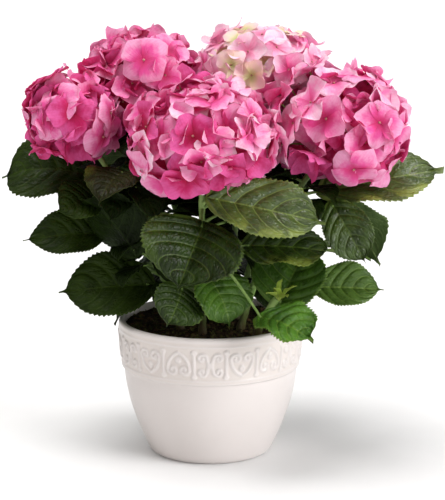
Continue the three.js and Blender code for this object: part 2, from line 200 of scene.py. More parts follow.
for i in range(POT_COLUMNS):
    j = (i + 1) % POT_COLUMNS
    faces.append((foot_middle, j, i))
    faces.append((floor_middle, last + i, last + j))


def put(tree, kind, inputs=None, **settings):
    """Adds a node, makes its settings, and fills its inputs with other nodes' outputs, numbers or colours."""
    made = tree.nodes.new(kind)
    for setting, value in settings.items():
        setattr(made, setting, value)
    for socket, value in (inputs or {}).items():
        if isinstance(value, bpy.types.NodeSocket):
            tree.links.new(value, made.inputs[socket])
        elif made.inputs[socket].type == "RGBA":
            made.inputs[socket].default_value = (*value, 1)
        else:
            made.inputs[socket].default_value = value
    return made


def blend_colours(tree, factor, first, second):
    """The first colour where factor is 0, the second where it is 1."""
    return put(tree, "ShaderNodeMix", {0: factor, 6: first, 7: second}, data_type="RGBA").outputs[2]


def ramp(tree, value, low, high, bottom=0.0, top=1.0):
    """Carries a value from the range low to high over to bottom to top, along an even curve."""
    inputs = {0: value, 1: low, 2: high, 3: bottom, 4: top}
    return put(tree, "ShaderNodeMapRange", inputs, interpolation_type="SMOOTHSTEP").outputs[0]


def maths(tree, operation, first, second=0.0):
    """One sum worked out by a node."""
    return put(tree, "ShaderNodeMath", {0: first, 1: second}, operation=operation).outputs[0]


def new_group(name, inputs, outputs):
    """An empty shader node group with the named sockets, and its two end nodes."""
    group = bpy.data.node_groups.new(name, "ShaderNodeTree")
    for socket, kind, value in inputs:
        made = group.interface.new_socket(socket, in_out="INPUT", socket_type="NodeSocket" + kind)
        if value is not None:
            made.default_value = value
    for socket in outputs:
        group.interface.new_socket(socket, in_out="OUTPUT", socket_type="NodeSocketFloat")
    return group, group.nodes.new("NodeGroupInput"), group.nodes.new("NodeGroupOutput")


def mottle_group():
    """Soft clouds and a finer grain, for whatever isn't one even colour."""
    group, start, end = new_group(
        "Mottle", [("Place", "Vector", None), ("Scale", "Float", 20.0)], ["Cloud", "Grain"])
    cloud = put(group, "ShaderNodeTexNoise", {0: start.outputs[0], 2: start.outputs[1], 3: 3.0, 4: 0.55})
    finer = maths(group, "MULTIPLY", start.outputs[1], 9.0)
    grain = put(group, "ShaderNodeTexNoise", {0: start.outputs[0], 2: finer, 3: 2.0, 4: 0.6})
    group.links.new(ramp(group, cloud.outputs[0], 0.34, 0.66), end.inputs[0])
    group.links.new(ramp(group, grain.outputs[0], 0.3, 0.7), end.inputs[1])
    return group


mottle = mottle_group()


def new_finish(name, roughness, coat=0.0, coat_roughness=0.1, specular=0.5):
    """A material with its Principled shader's fixed values set."""
    material = bpy.data.materials.new(name)
    material.use_nodes = True
    shader = material.node_tree.nodes["Principled BSDF"]
    shader.inputs["Roughness"].default_value = roughness
    shader.inputs["Coat Weight"].default_value = coat
    shader.inputs["Coat Roughness"].default_value = coat_roughness
    shader.inputs["Specular IOR Level"].default_value = specular
    return material, material.node_tree, shader


def bump_skin(tree, shader, strength, distance, height):
    """Makes the surface catch the light as if it rose by distance, in metres, where height is 1."""
    bump = put(tree, "ShaderNodeBump", {"Strength": strength, "Distance": distance, "Height": height})
    tree.links.new(bump.outputs[0], shader.inputs["Normal"])


def glaze_finish():
    """Warm white glaze, a little deeper in the hollows of the band, under a thin clear coat."""
    material, tree, shader = new_finish("warm_white_glaze", 0.36, coat=0.22, coat_roughness=0.16)
    place = put(tree, "ShaderNodeTexCoord").outputs["Object"]
    clouds = put(tree, "ShaderNodeGroup", {"Place": place, "Scale": 14.0}, node_tree=mottle)
    body = blend_colours(tree, clouds.outputs["Cloud"], (0.73, 0.68, 0.66), (0.76, 0.71, 0.69))
    proud = put(tree, "ShaderNodeAttribute", attribute_name="proud").outputs["Fac"]
    # The band's flat ground round the raised strokes is darker and warmer.
    unraised_ground = ramp(tree, proud, 0.02, 0.5, 1.0, 0.0)
    on_the_band = put(tree, "ShaderNodeAttribute", attribute_name="on_band").outputs["Fac"]
    hollow = maths(tree, "MULTIPLY", maths(tree, "MULTIPLY", unraised_ground, on_the_band), 0.45)
    colour = blend_colours(tree, hollow, body, (0.70, 0.63, 0.575))
    tree.links.new(colour, shader.inputs["Base Color"])
    rough = ramp(tree, clouds.outputs["Grain"], 0.0, 1.0, 0.31, 0.42)
    tree.links.new(rough, shader.inputs["Roughness"])
    bump_skin(tree, shader, 0.08, 0.0006, clouds.outputs["Cloud"])
    return material


pot = mesh_piece("glazed_pot", points, faces, [glaze_finish()])
store(pot.data, "proud", "FLOAT", np.concatenate([pressed, [0, 0]]))
store(pot.data, "on_band", "FLOAT", np.concatenate([on_band.astype(float), [0, 0]]))
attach(pot, "root")
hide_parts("pot")

# ---- Compost ----
# Dark peaty compost fills the pot to a finger's breadth below the rim, level round the canes and heaped
# a little at the wall, with loose crumbs, chips of bark and a little moss lying on it.

SOIL_Z = 126.0  # its level round the canes
SOIL_FLOOR_Z = 7.6
SOIL_RADIUS = 84.6
SOIL_RINGS = 34
SOIL_SECTORS = 132
CRUMBS_PER_SQUARE_METRE = 95000
CHIPS_PER_SQUARE_METRE = 15000
TUFTS_PER_SQUARE_METRE = 24000


def soil_height(x, y):
    """The top of the compost, uneven with clods."""
    level = np.interp(np.hypot(x, y), [0, 64, 74.2, SOIL_RADIUS], [SOIL_Z, SOIL_Z, 128.4, 130.6])
    lumps = np.sin(0.23 * x + 1.1) * np.sin(0.27 * y + 0.4) + 0.6 * np.sin(0.52 * x - 0.31 * y)
    clods = np.sin(0.9 * x + 0.35 * y) * np.sin(0.77 * y - 0.4 * x + 2.0)
    return level + 0.55 * lumps + 0.45 * clods


ring_radii = SOIL_RADIUS * (np.arange(1, SOIL_RINGS + 1) / SOIL_RINGS)
sector_turns = np.arange(SOIL_SECTORS) * 2 * math.pi / SOIL_SECTORS
soil_x = np.outer(ring_radii, np.cos(sector_turns)).ravel()
soil_y = np.outer(ring_radii, np.sin(sector_turns)).ravel()
top = np.stack([soil_x, soil_y, soil_height(soil_x, soil_y)], 1)
below = []
for r, z in [(83.0, 100.0), (80.0, 86.0), (69.5, 41.0), (55.0, 9.0), (52.0, SOIL_FLOOR_Z)]:
    below.append(np.stack([r * np.cos(sector_turns), r * np.sin(sector_turns), np.full(SOIL_SECTORS, z)], 1))
points = np.concatenate([top, *below, [[0, 0, float(soil_height(0.0, 0.0))], [0, 0, SOIL_FLOOR_Z]]])
soil_rows = SOIL_RINGS + len(below)
top_middle, under_middle = soil_rows * SOIL_SECTORS, soil_rows * SOIL_SECTORS + 1
faces = []
for i in range(SOIL_SECTORS):
    j = (i + 1) % SOIL_SECTORS
    faces.append((top_middle, i, j))
    for k in range(soil_rows - 1):
        a, b = k * SOIL_SECTORS, (k + 1) * SOIL_SECTORS
        faces.append((a + j, a + i, b + i, b + j))
    faces.append((under_middle, (soil_rows - 1) * SOIL_SECTORS + j, (soil_rows - 1) * SOIL_SECTORS + i))


def earth_finish(name, dark, light, scale, bump):
    """Rough, dull and speckled, for compost, bark and moss."""
    material, tree, shader = new_finish(name, 0.92, specular=0.25)
    place = put(tree, "ShaderNodeTexCoord").outputs["Object"]
    clouds = put(tree, "ShaderNodeGroup", {"Place": place, "Scale": scale}, node_tree=mottle)
    lit = maths(tree, "MULTIPLY", clouds.outputs["Cloud"], clouds.outputs["Grain"])
    tree.links.new(blend_colours(tree, lit, dark, light), shader.inputs["Base Color"])
    bump_skin(tree, shader, bump, 0.002, clouds.outputs["Grain"])
    return material


peat = earth_finish("peat", (0.022, 0.013, 0.007), (0.13, 0.075, 0.038), 160.0, 0.9)
bark = earth_finish("bark_chip", (0.08, 0.04, 0.018), (0.30, 0.17, 0.08), 260.0, 0.6)
moss = earth_finish("moss", (0.06, 0.065, 0.018), (0.26, 0.24, 0.07), 300.0, 0.3)
soil = mesh_piece("compost", points, faces, [peat])
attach(soil, "root")
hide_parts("soil")


def lump(name, seed, flat, long):
    """One crumb or chip: a rough ball of twenty faces, squashed and drawn out, 1 mm across."""
    random = np.random.RandomState(seed)
    golden = (1 + 5 ** 0.5) / 2
    corners = []
    for a, b in [(-1, golden), (1, golden), (-1, -golden), (1, -golden)]:
        corners += [(a, b, 0), (0, a, b), (b, 0, a)]
    corners = np.array(corners) * 0.26
    outward = []
    for i, j, k in itertools.combinations(range(12), 3):
        a, b, c = corners[[i, j, k]]
        if max(np.linalg.norm(a - b), np.linalg.norm(b - c), np.linalg.norm(c - a)) < 0.6:
            outward.append((i, j, k) if np.cross(b - a, c - a) @ a > 0 else (i, k, j))
    corners = corners * (0.72 + 0.5 * random.rand(12, 1)) * np.array([long, 1.0, flat])
    return mesh_piece(name, corners * 1000, outward, [], smooth=False)


def moss_tuft(name, seed):
    """Seven short curved blades out of one spot, about 1 mm across."""
    random = np.random.RandomState(seed)
    points, faces = [], []
    for blade in range(7):
        turn = 2 * math.pi * (blade + random.rand()) / 7
        out = np.array([math.cos(turn), math.sin(turn), 0.0])
        side = np.array([-out[1], out[0], 0.0]) * 0.09
        reach, rise = 0.35 + 0.3 * random.rand(), 0.5 + 0.4 * random.rand()
        start = len(points)
        for share in (0.0, 0.5, 1.0):
            middle = out * reach * share + np.array([0, 0, rise * (share - 0.45 * share ** 2)])
            points += [middle - side * (1 - 0.8 * share), middle + side * (1 - 0.8 * share)]
        faces += [(start, start + 1, start + 3, start + 2), (start + 2, start + 3, start + 5, start + 4)]
    return mesh_piece(name, np.array(points) * 1000, faces, [])


def new_tree(name, output, **inputs):
    """An empty geometry node group with named inputs and one output, and where its inputs come in."""
    tree = bpy.data.node_groups.new(name, "GeometryNodeTree")
    for socket, kind in inputs.items():
        tree.interface.new_socket(socket, in_out="INPUT", socket_type="NodeSocket" + kind)
    tree.interface.new_socket(output, in_out="OUTPUT", socket_type="NodeSocketGeometry")
    return tree, tree.nodes.new("NodeGroupInput").outputs


def finish_tree(tree, shape, material):
    """Ends a geometry node group: its shapes become plain mesh and get their material."""
    real = put(tree, "GeometryNodeRealizeInstances", {0: shape})
    done = put(tree, "GeometryNodeSetMaterial", {0: real.outputs[0], "Material": material})
    tree.links.new(done.outputs[0], tree.nodes.new("NodeGroupOutput").inputs[0])
    return tree


def scatter_tree():
    """Geometry nodes that lay a collection's forms over a surface, each turned and sized at random."""
    tree, given = new_tree(
        "Scatter", "Scattered", Surface="Geometry", Forms="Collection", Density="Float", Smallest="Float",
        Largest="Float", Tilt="Float", Seed="Int", Finish="Material")
    spots = put(tree, "GeometryNodeDistributePointsOnFaces",
                {"Mesh": given["Surface"], "Density": given["Density"], "Seed": given["Seed"]})
    forms = put(tree, "GeometryNodeCollectionInfo",
                {"Collection": given["Forms"], "Separate Children": True, "Reset Children": True})
    lean = put(tree, "ShaderNodeCombineXYZ", {0: given["Tilt"], 1: given["Tilt"], 2: 3.14})
    turn = put(tree, "FunctionNodeRandomValue", {1: lean.outputs[0], 8: given["Seed"]},
               data_type="FLOAT_VECTOR")
    size = put(tree, "FunctionNodeRandomValue", {2: given["Smallest"], 3: given["Largest"], 8: given["Seed"]})
    laid = put(tree, "GeometryNodeInstanceOnPoints",
               {"Points": spots.outputs[0], "Instance": forms.outputs[0], "Pick Instance": True,
                "Rotation": turn.outputs[0], "Scale": size.outputs[1]})
    return finish_tree(tree, laid.outputs[0], given["Finish"])


def grown_by_nodes(name, source, tree, values):
    """Runs a node tree on a source object with the named inputs set, and keeps the result as a plain mesh."""
    modifier = source.modifiers.new(name, "NODES")
    modifier.node_group = tree
    for item in tree.interface.items_tree:
        if item.in_out == "INPUT" and item.name in values:
            modifier[item.identifier] = values[item.name]
    ready = source.evaluated_get(bpy.context.evaluated_depsgraph_get())
    mesh = bpy.data.meshes.new_from_object(ready)
    mesh.name = name
    source.modifiers.remove(modifier)
    mesh.polygons.foreach_set("use_smooth", np.ones(len(mesh.polygons), bool))
    piece = bpy.data.objects.new(name, mesh)
    bpy.context.collection.objects.link(piece)
    return piece


def shelf_of(name, forms):
    """Puts form objects in a collection of their own, away from the scene."""
    shelf = bpy.data.collections.new(name)
    for form in forms:
        for home in form.users_collection:
            home.objects.unlink(form)
        shelf.objects.link(form)
    return shelf


def clear_shelf(shelf):
    """Removes the form objects when they have been laid out."""
    for form in list(shelf.objects):
        bpy.data.objects.remove(form)
    bpy.data.collections.remove(shelf)


surface_mesh = bpy.data.meshes.new("compost_top")
surface_faces = [face for face in faces if max(face) < SOIL_RINGS * SOIL_SECTORS or face[0] == top_middle]
surface_mesh.from_pydata(points * 0.001, [], surface_faces)
surface = bpy.data.objects.new("compost_top", surface_mesh)
bpy.context.collection.objects.link(surface)
scatter = scatter_tree()
crumb_shelf = shelf_of("crumbs", [lump(f"crumb{k}", 5 + k, 0.75, 1.1) for k in range(3)])
chip_shelf = shelf_of("chips", [lump(f"chip{k}", 25 + k, 0.35, 1.7) for k in range(3)])
moss_shelf = shelf_of("tufts", [moss_tuft(f"tuft{k}", 45 + k) for k in range(3)])
# Each kind: its forms, how many, smallest and largest size in metres, tilt in radians, finish and seed.
litter = [
    ("compost_crumbs", crumb_shelf, CRUMBS_PER_SQUARE_METRE, 0.0012, 0.0034, 3.0, peat, 3),
    ("bark_chips", chip_shelf, CHIPS_PER_SQUARE_METRE, 0.0022, 0.0058, 0.7, bark, 7),
    ("moss_tufts", moss_shelf, TUFTS_PER_SQUARE_METRE, 0.003, 0.0062, 0.6, moss, 11),
]
for name, shelf, density, smallest, largest, tilt, material, seed in litter:
    piece = grown_by_nodes(name, surface, scatter, {
        "Forms": shelf, "Density": density, "Smallest": smallest, "Largest": largest,
        "Tilt": tilt, "Seed": seed, "Finish": material})
    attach(piece, "root")
    clear_shelf(shelf)
bpy.data.objects.remove(surface)

# ---- Canes ----
# Eight canes rise out of the compost, stout and flared at the foot, a little swollen where each pair of
# leaves joins. They are smooth green wood, browner and streaked low down, dotted with pale pores.

GOLDEN_ANGLE = math.pi * (3 - math.sqrt(5))
CANE_FOOT_RADIUS, CANE_RADIUS, CANE_TIP_RADIUS = 4.6, 3.7, 2.4
CANE_FLARE = 12.0  # height over which the foot flares
# Each shoot: foot, centre of its flower head or its tip, the head's radii across and up, the heights where
# bare cane turns leafy and where the flower stalk starts, its florets, its seed and its ruled leaf pairs.
SHOOTS = {
    "left": dict(foot=(-30, -6), top=(-139, -10, 341), head=(53, 54), leafy=150, stalk=296,
                 florets=22, seed=11, pairs=(252, 228, 205, 178)),
    "upper_left": dict(foot=(-16, 18), top=(-73, 45, 374), head=(62, 53), leafy=175, stalk=330,
                       florets=22, seed=23, pairs=(316, 290, 268, 248, 226, 205, 188)),
    "front": dict(foot=(-8, -26), top=(-8, -72, 330), head=(78, 60), leafy=156, stalk=278,
                  florets=33, seed=37, pairs=(240, 214, 190)),
    "right": dict(foot=(30, -8), top=(131, -25, 336), head=(67, 60), leafy=160, stalk=284,
                  florets=26, seed=41, pairs=(240, 214, 190)),
    "top": dict(foot=(14, 16), top=(56, 52, 377), head=(69, 51), leafy=175, stalk=334,
                florets=26, seed=53, pairs=(326, 300, 276, 250, 228, 206, 188)),
    "back": dict(foot=(-10, 38), top=(-44, 130, 314), head=(60, 50), leafy=160, stalk=270,
                 florets=22, seed=67, pairs=(258, 240, 220, 200, 180)),
    "back_right": dict(foot=(28, 30), top=(98, 124, 314), head=(56, 48), leafy=160, stalk=268,
                       florets=20, seed=79, pairs=(256, 238, 218, 198, 178)),
    "young": dict(foot=(46, -36), top=(66, -64, 172), head=None, leafy=146, stalk=172,
                  florets=0, seed=97, pairs=()),
}


def cane_point(shoot, z):
    """The cane's centre line at a height: steep at the foot, then bending outwards."""
    foot, tip = shoot["foot"], shoot["top"]
    z = np.asarray(z, float)
    share = (z - SOIL_Z) / (tip[2] - SOIL_Z)
    t = (1.1 - np.sqrt(1.21 - 0.4 * share)) / 0.2  # where 1.1 t - 0.1 t t is that share
    bend = 0.56 * t * (1 - t) + t * t
    return np.stack([foot[0] + (tip[0] - foot[0]) * bend, foot[1] + (tip[1] - foot[1]) * bend, z], -1)


def cane_radius(shoot, z, joints):
    """The cane's radius at a height, a little thicker where leaves join."""
    share = (z - SOIL_Z) / (shoot["top"][2] - SOIL_Z)
    flare = 1 - smoothstep(0, CANE_FLARE, z - SOIL_Z)
    swelling = sum(0.55 * math.exp(-((z - joint) / 2.4) ** 2) for joint in joints)
    taper = CANE_RADIUS + (CANE_TIP_RADIUS - CANE_RADIUS) * share
    return taper + (CANE_FOOT_RADIUS - CANE_RADIUS) * flare + swelling


def stalks_tree():
    """Geometry nodes that turn edge paths into round stalks, as thick at each point as its thickness says."""
    tree, given = new_tree("Stalks", "Stalks", Paths="Geometry", Sides="Int", Finish="Material")
    curve = put(tree, "GeometryNodeMeshToCurve", {0: given["Paths"]})
    thick = put(tree, "GeometryNodeInputNamedAttribute", {"Name": "thickness"}, data_type="FLOAT")
    ring = put(tree, "GeometryNodeCurvePrimitiveCircle", {"Resolution": given["Sides"], "Radius": 1.0})
    tube = put(tree, "GeometryNodeCurveToMesh", {"Curve": curve.outputs[0], "Profile Curve": ring.outputs[0],
                                                 "Scale": thick.outputs[0], "Fill Caps": True})
    return finish_tree(tree, tube.outputs[0], given["Finish"])


stalks = stalks_tree()


def stalk_piece(name, paths, sides, material):
    """Round stalks along paths, each a list of points and the radius at each, in millimetres."""
    points, edges, thickness = [], [], []
    for path, radii in paths:
        start = len(points)
        points += [np.asarray(p) * 0.001 for p in path]
        edges += [(start + k, start + k + 1) for k in range(len(path) - 1)]
        thickness += [r * 0.001 for r in radii]
    mesh = bpy.data.meshes.new(name + "_paths")
    mesh.from_pydata(points, edges, [])
    store(mesh, "thickness", "FLOAT", thickness)
    source = bpy.data.objects.new(name + "_paths", mesh)
    bpy.context.collection.objects.link(source)
    piece = grown_by_nodes(name, source, stalks, {"Sides": sides, "Finish": material})
    bpy.data.objects.remove(source)
    return piece


def stem_finish(name, green, pale, woody, wood_from, wood_to):
    """Green stem skin: long streaks, pale pores, and brown wood below a height in metres."""
    material, tree, shader = new_finish(name, 0.46, specular=0.4)
    place = put(tree, "ShaderNodeTexCoord").outputs["Object"]
    stretched = put(tree, "ShaderNodeMapping", {"Vector": place, "Scale": (1.0, 1.0, 0.16)})
    streaks = put(tree, "ShaderNodeGroup", {"Place": stretched.outputs[0], "Scale": 210.0}, node_tree=mottle)
    skin = blend_colours(tree, streaks.outputs["Cloud"], green, pale)
    height = put(tree, "ShaderNodeSeparateXYZ", {0: place}).outputs[2]
    aged = maths(tree, "ADD", height, maths(tree, "MULTIPLY", streaks.outputs["Cloud"], 0.012))
    colour = blend_colours(tree, ramp(tree, aged, wood_from, wood_to, 1.0, 0.0), skin, woody)
    pores = put(tree, "ShaderNodeTexVoronoi", {"Vector": place, "Scale": 330.0})
    pore = ramp(tree, pores.outputs[0], 0.10, 0.2, 0.55, 0.0)
    tree.links.new(blend_colours(tree, pore, colour, (0.18, 0.17, 0.08)), shader.inputs["Base Color"])
    bump_skin(tree, shader, 0.5, 0.0007, streaks.outputs["Grain"])
    return material


cane_skin = stem_finish(
    "cane_skin", (0.075, 0.14, 0.025), (0.14, 0.22, 0.05), (0.075, 0.047, 0.02), 0.128, 0.165)
stalk_skin = stem_finish(
    "leaf_stalk_skin", (0.17, 0.30, 0.06), (0.28, 0.42, 0.12), (0.2, 0.3, 0.08), 0.05, 0.06)


def cane_path(shoot, heights, joints):
    """The cane's points and radii at these heights."""
    return [cane_point(shoot, z) for z in heights], [cane_radius(shoot, z, joints) for z in heights]


for name, shoot in SHOOTS.items():
    joints = [z for z in (shoot["leafy"] - 4, (shoot["leafy"] + SOIL_Z) / 2) if z > SOIL_Z + 6]
    heights = np.linspace(SOIL_Z - 2, shoot["leafy"], 16)
    piece = stalk_piece(name + "_cane", [cane_path(shoot, heights, joints)], 14, cane_skin)
    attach(piece, "root")
    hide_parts(name + "_stem")

# ---- Leaves ----
# Broad toothed leaves in opposite pairs on each leafy cane. The blade is thick and dark with a dull gloss,
# quilted between pale sunken veins, lighter and matte underneath; each hangs on a stout pale stalk.

LEAF_FOLD = math.radians(12)
LEAF_ROWS, LEAF_COLUMNS = 66, 24  # three rows to a tooth
SMALL_LEAF = 60  # blades shorter than this take half the rows and columns
VEIN_PAIRS = 6.6
LEAF_THICKNESS = 0.55
# Leaves listed one by one: node height, the blade's two ends, width, roll, arch and fullness, then its tone
# and
# what sets it apart: turn and fold in degrees, the tip's curl and bluntness, how strong its quilting, ripple
# and teeth are, and how much painted light lies along one edge.
SET_LEAVES = [
    ("left", 268, (-110, 28, 273), (-212, 46, 272), 72, -55, 0.16, 1.2, "dark",
     dict(curl=0.04, turn=7, blunt=4.4)),
    ("left", 268, (-112, -20, 264), (-150, -46, 254), 50, -40, 0.06, 0.95, "dark",
     dict(curl=0.02)),
    ("left", 268, (-84, -28, 291), (-108, -74, 270), 56, -8, 0.1, 0.95, "dusky",
     dict(curl=0.08, sunned=0.35)),
    ("left", 222, (-106, -8, 224), (-186, -18, 218), 52, -32, 0.08, 0.89, "dark",
     dict(curl=-0.02, fold=18, turn=-21, blunt=1.8)),
    ("left", 166, (-54, -24, 176), (-150, -36, 170), 70, -55, 0.05, 1.04, "dark",
     dict(blunt=2.1)),
    ("left", 190, (-72, -38, 206), (-126, -46, 271), 64, 38, 0.1, 0.85, "shaded",
     dict(curl=0.05, turn=14, blunt=4.1)),
    ("front", 258, (-5, -68, 249), (-31, -112, 189), 107, -10, 0.1, 1.04, "green",
     dict(turn=-16, fold=22, sunned=0.05, blunt=2.7)),
    ("front", 262, (-5, -78, 275), (111, -92, 252), 63, 56, 0.02, 1.11, "glossy",
     dict(sunned=0.7, quilt=1.5, turn=-1, blunt=2.8)),
    ("right", 262, (104, -24, 267), (232, 4, 286), 74, 42, 0.03, 1.21, "glossy",
     dict(sunned=1, quilt=1.3, turn=-4, blunt=2.3)),
    ("right", 236, (117, -38, 264), (152, -60, 205), 48, 48, 0.1, 1.09, "lit",
     dict(turn=7, curl=0.02, blunt=2.9)),
    ("front", 206, (29, -56, 222), (121, -76, 220), 47, 43, 0.05, 1, "green",
     dict(sunned=0.5, ripple=2, turn=2, blunt=4)),
    ("young", 160, (67, -62, 161), (98, -34, 218), 84, 18, 0.06, 0.98, "fresh",
     dict(turn=-4, blunt=3.1)),
    ("right", 184, (101, -20, 172), (172, -28, 171), 52, 51, 0.04, 1.03, "sunlit",
     dict(fold=24, turn=3, blunt=2.2)),
    ("front", 222, (43, -85, 157), (99, -118, 140), 65, 4, 0.12, 1.29, "bright",
     dict(turn=12, quilt=2.4, teeth=1.8, ripple=1.6, blunt=3.7)),
    ("front", 186, (-2, -50, 190), (20, -70, 145), 68, 10, 0.1, 0.78, "fresh",
     dict(curl=0.05, blunt=3.9)),
    ("front", 172, (-27, -66, 184), (-41, -94, 151), 55, -19, 0.1, 0.99, "green",
     dict(curl=0.05, turn=-29, blunt=3.5)),
    ("left", 190, (-58, 6, 208), (-104, 10, 188), 60, -20, 0.08, 0.95, "shaded",
     dict(curl=0.03)),
    ("right", 250, (82, -44, 264), (98, -74, 242), 44, 6, 0.1, 0.95, "shaded",
     dict(curl=0.03)),
    ("front", 240, (-22, -50, 246), (-60, -58, 211), 48, 6, 0.08, 0.95, "shaded",
     dict(curl=0.03)),
    ("front", 226, (6, -32, 232), (44, -26, 188), 54, 4, 0.08, 0.95, "shaded",
     dict(curl=0.03)),
    ("upper_left", 300, (-46, 10, 288), (-50, -32, 247), 42, 4, 0.1, 0.95, "shaded",
     dict(curl=0.04)),
    ("young", 166, (67, -68, 170), (62, -80, 186), 9, 0, 0.1, 0.9, "budding",
     dict(fold=30)),
    ("young", 168, (70, -66, 172), (84, -72, 186), 9, 0, 0.1, 0.9, "budding",
     dict(fold=30)),
    ("young", 169, (66, -69, 172), (54, -83, 181), 8, 10, 0.1, 0.9, "budding",
     dict(fold=24)),
    ("young", 170, (69, -70, 173), (75, -87, 178), 8, -10, 0.12, 0.9, "budding",
     dict(fold=24)),
    ("young", 171, (67, -68, 175), (70, -72, 193), 8, 0, 0.1, 0.9, "budding",
     dict(fold=24)),
]
LEAF_KEYS = ("shoot", "node", "base", "tip", "width", "roll", "arch", "fullness", "tone", "finish")


def half_width(leaf, t):
    """Half the width of the plain blade that keeps a leaf's room for it."""
    inner = np.clip(t, 1e-9, 1 - 1e-9)
    oval = np.sin(math.pi * inner ** leaf["fullness"]) ** 0.62
    share = np.where((t <= 0) | (t >= 1), 0.0, oval * (1 - 0.6 * smoothstep(0.88, 1, t)))
    return leaf["width"] / 2 * share


def leaf_frame(leaf):
    """Where a blade starts, how it runs, how long it is, and which ways are across and out of its face."""
    base = np.array(leaf["base"], float)
    chord = np.array(leaf["tip"], float) - base
    length = np.linalg.norm(chord)
    heading = chord / length
    level = np.cross([0, 0, 1], heading)
    level = level / np.linalg.norm(level)
    up = np.cross(heading, level)
    roll = math.radians(leaf["roll"])
    across = level * math.cos(roll) + up * math.sin(roll)
    out = up * math.cos(roll) - level * math.sin(roll)
    return base, chord, length, across, out


def leaf_points(leaf, t, s):
    """Points of the blade: t runs from stalk to tip, s from one edge (-1) to the other (1)."""
    base, chord, length, across, out = leaf_frame(leaf)
    t, s = np.broadcast_arrays(np.asarray(t, float), np.asarray(s, float))
    half = half_width(leaf, t)
    rise = leaf["arch"] * length * 4 * t * (1 - t) + np.abs(s) * half * math.sin(LEAF_FOLD)
    aside = s * half * math.cos(LEAF_FOLD)
    return base + chord * t[..., None] + out * rise[..., None] + across * aside[..., None]


def stalk_path(shoot, leaf, count):
    """The leaf's stalk, bowed a little upwards from the cane to the blade."""
    start = cane_point(shoot, leaf["node"])
    end = leaf_points(leaf, 0.1, 0.0)
    middle = (start + end) / 2 + np.array([0, 0, 0.1 * np.linalg.norm(end - start)])
    t = np.linspace(0, 1, count)[:, None]
    return (1 - t) ** 2 * start + 2 * t * (1 - t) * middle + t * t * end


def leaf_samples(shoot, leaf):
    """Points spread over a leaf and its stalk, to keep other leaves and florets off them."""
    t, s = np.meshgrid([0.08, 0.22, 0.36, 0.5, 0.64, 0.78, 0.94], [-1, -0.5, 0, 0.5, 1], indexing="ij")
    return np.concatenate([leaf_points(leaf, t.ravel(), s.ravel()), stalk_path(shoot, leaf, 4)[2:]])


def inside_head(places, shoot, scale):
    """Which places lie in a shoot's flower head when it is scaled so."""
    if shoot["head"] is None:
        return np.zeros(len(places), bool)
    wide, high = shoot["head"]
    return np.linalg.norm((places - np.array(shoot["top"])) / [wide, wide, high], axis=1) < scale


RIM_REACH = 96.3  # inside this radius leaves stay above the pot's rim
RIM_CLEAR_Z, WALL_CLEAR_Z = 141, 100
LEAF_HEAD_ROOM = 0.92  # leaves keep out of the flower heads scaled so
CANE_ROOM = 3  # further from other shoots' canes than from other leaves


def clear_of_plant(places, own, taken, clearance, front):
    """Whether a leaf keeps off the pot, the heads, the other canes and the leaves that are there."""
    r = np.hypot(places[:, 0], places[:, 1])
    z = places[:, 2]
    if (places[:, 1] <= front).any() or (z <= np.where(r < RIM_REACH, RIM_CLEAR_Z, WALL_CLEAR_Z)).any():
        return False
    for name, shoot in SHOOTS.items():
        if inside_head(places, shoot, LEAF_HEAD_ROOM).any():
            return False
        nearest = cane_point(shoot, np.clip(z, SOIL_Z, shoot["top"][2]))
        if name != own and np.linalg.norm(places - nearest, axis=1).min() <= clearance + CANE_ROOM:
            return False
    return np.linalg.norm(places[:, None] - taken[None], axis=2).min() > clearance


def seeded(seed):
    """Random numbers from 0 to 1, the same for the same seed on any machine."""
    state = seed
    while True:
        state = (state * 1664525 + 1013904223) & 0xFFFFFFFF
        yield state / 4294967296


UPPER_TIER_Z, UPPER_TIER_WIDER = 240, 34  # high up, leaves may spread so much further


def grown_leaves(own, taken, nodes, seed, rule):
    """Opposite pairs, each turned a quarter from the pair below; a leaf without room is skipped."""
    shoot = SHOOTS[own]
    random = seeded(seed)
    lean = math.atan2(shoot["top"][1] - shoot["foot"][1], shoot["top"][0] - shoot["foot"][0])
    grown = []
    for k, node in enumerate(nodes):
        done = [False, False]
        for draw in range(rule["draws"]):
            side = draw % 2
            if done[side]:
                continue
            swing = rule["swing"] * (next(random) - 0.5)
            azimuth = lean + math.radians(45 + 90 * k + 180 * side + swing)
            stalk = rule["stalk"][0] + rule["stalk"][1] * next(random)
            length = rule["length"][0] + rule["length"][1] * next(random)
            pitch = math.radians(12 - 52 * next(random))  # from a little upwards to well down
            outward = np.array([math.cos(azimuth), math.sin(azimuth), 0])
            base = cane_point(shoot, node) + outward * stalk + [0, 0, 0.35 * stalk]
            tip = base + outward * length * math.cos(pitch) + [0, 0, length * math.sin(pitch)]
            width = length * (0.66 + 0.1 * next(random))
            roll, arch = 50 * (next(random) - 0.5), 0.07 + 0.05 * next(random)
            tone = rule["tones"][int(4 * abs(math.sin(9.1 * node + draw)))]
            drawn = (own, node, base, tip, width, roll, arch, 1.05, tone, dict(curl=0.06))
            leaf = dict(zip(LEAF_KEYS, drawn))
            samples = leaf_samples(shoot, leaf)
            widest = rule["widest"] + np.where(samples[:, 2] > UPPER_TIER_Z, UPPER_TIER_WIDER, 0)
            inside = (np.hypot(samples[:, 0], samples[:, 1]) < widest).all()
            if inside and clear_of_plant(samples, own, taken, rule["clearance"], rule["front"]):
                taken = np.concatenate([taken, samples])
                grown.append(leaf)
                done[side] = True
    return grown, taken


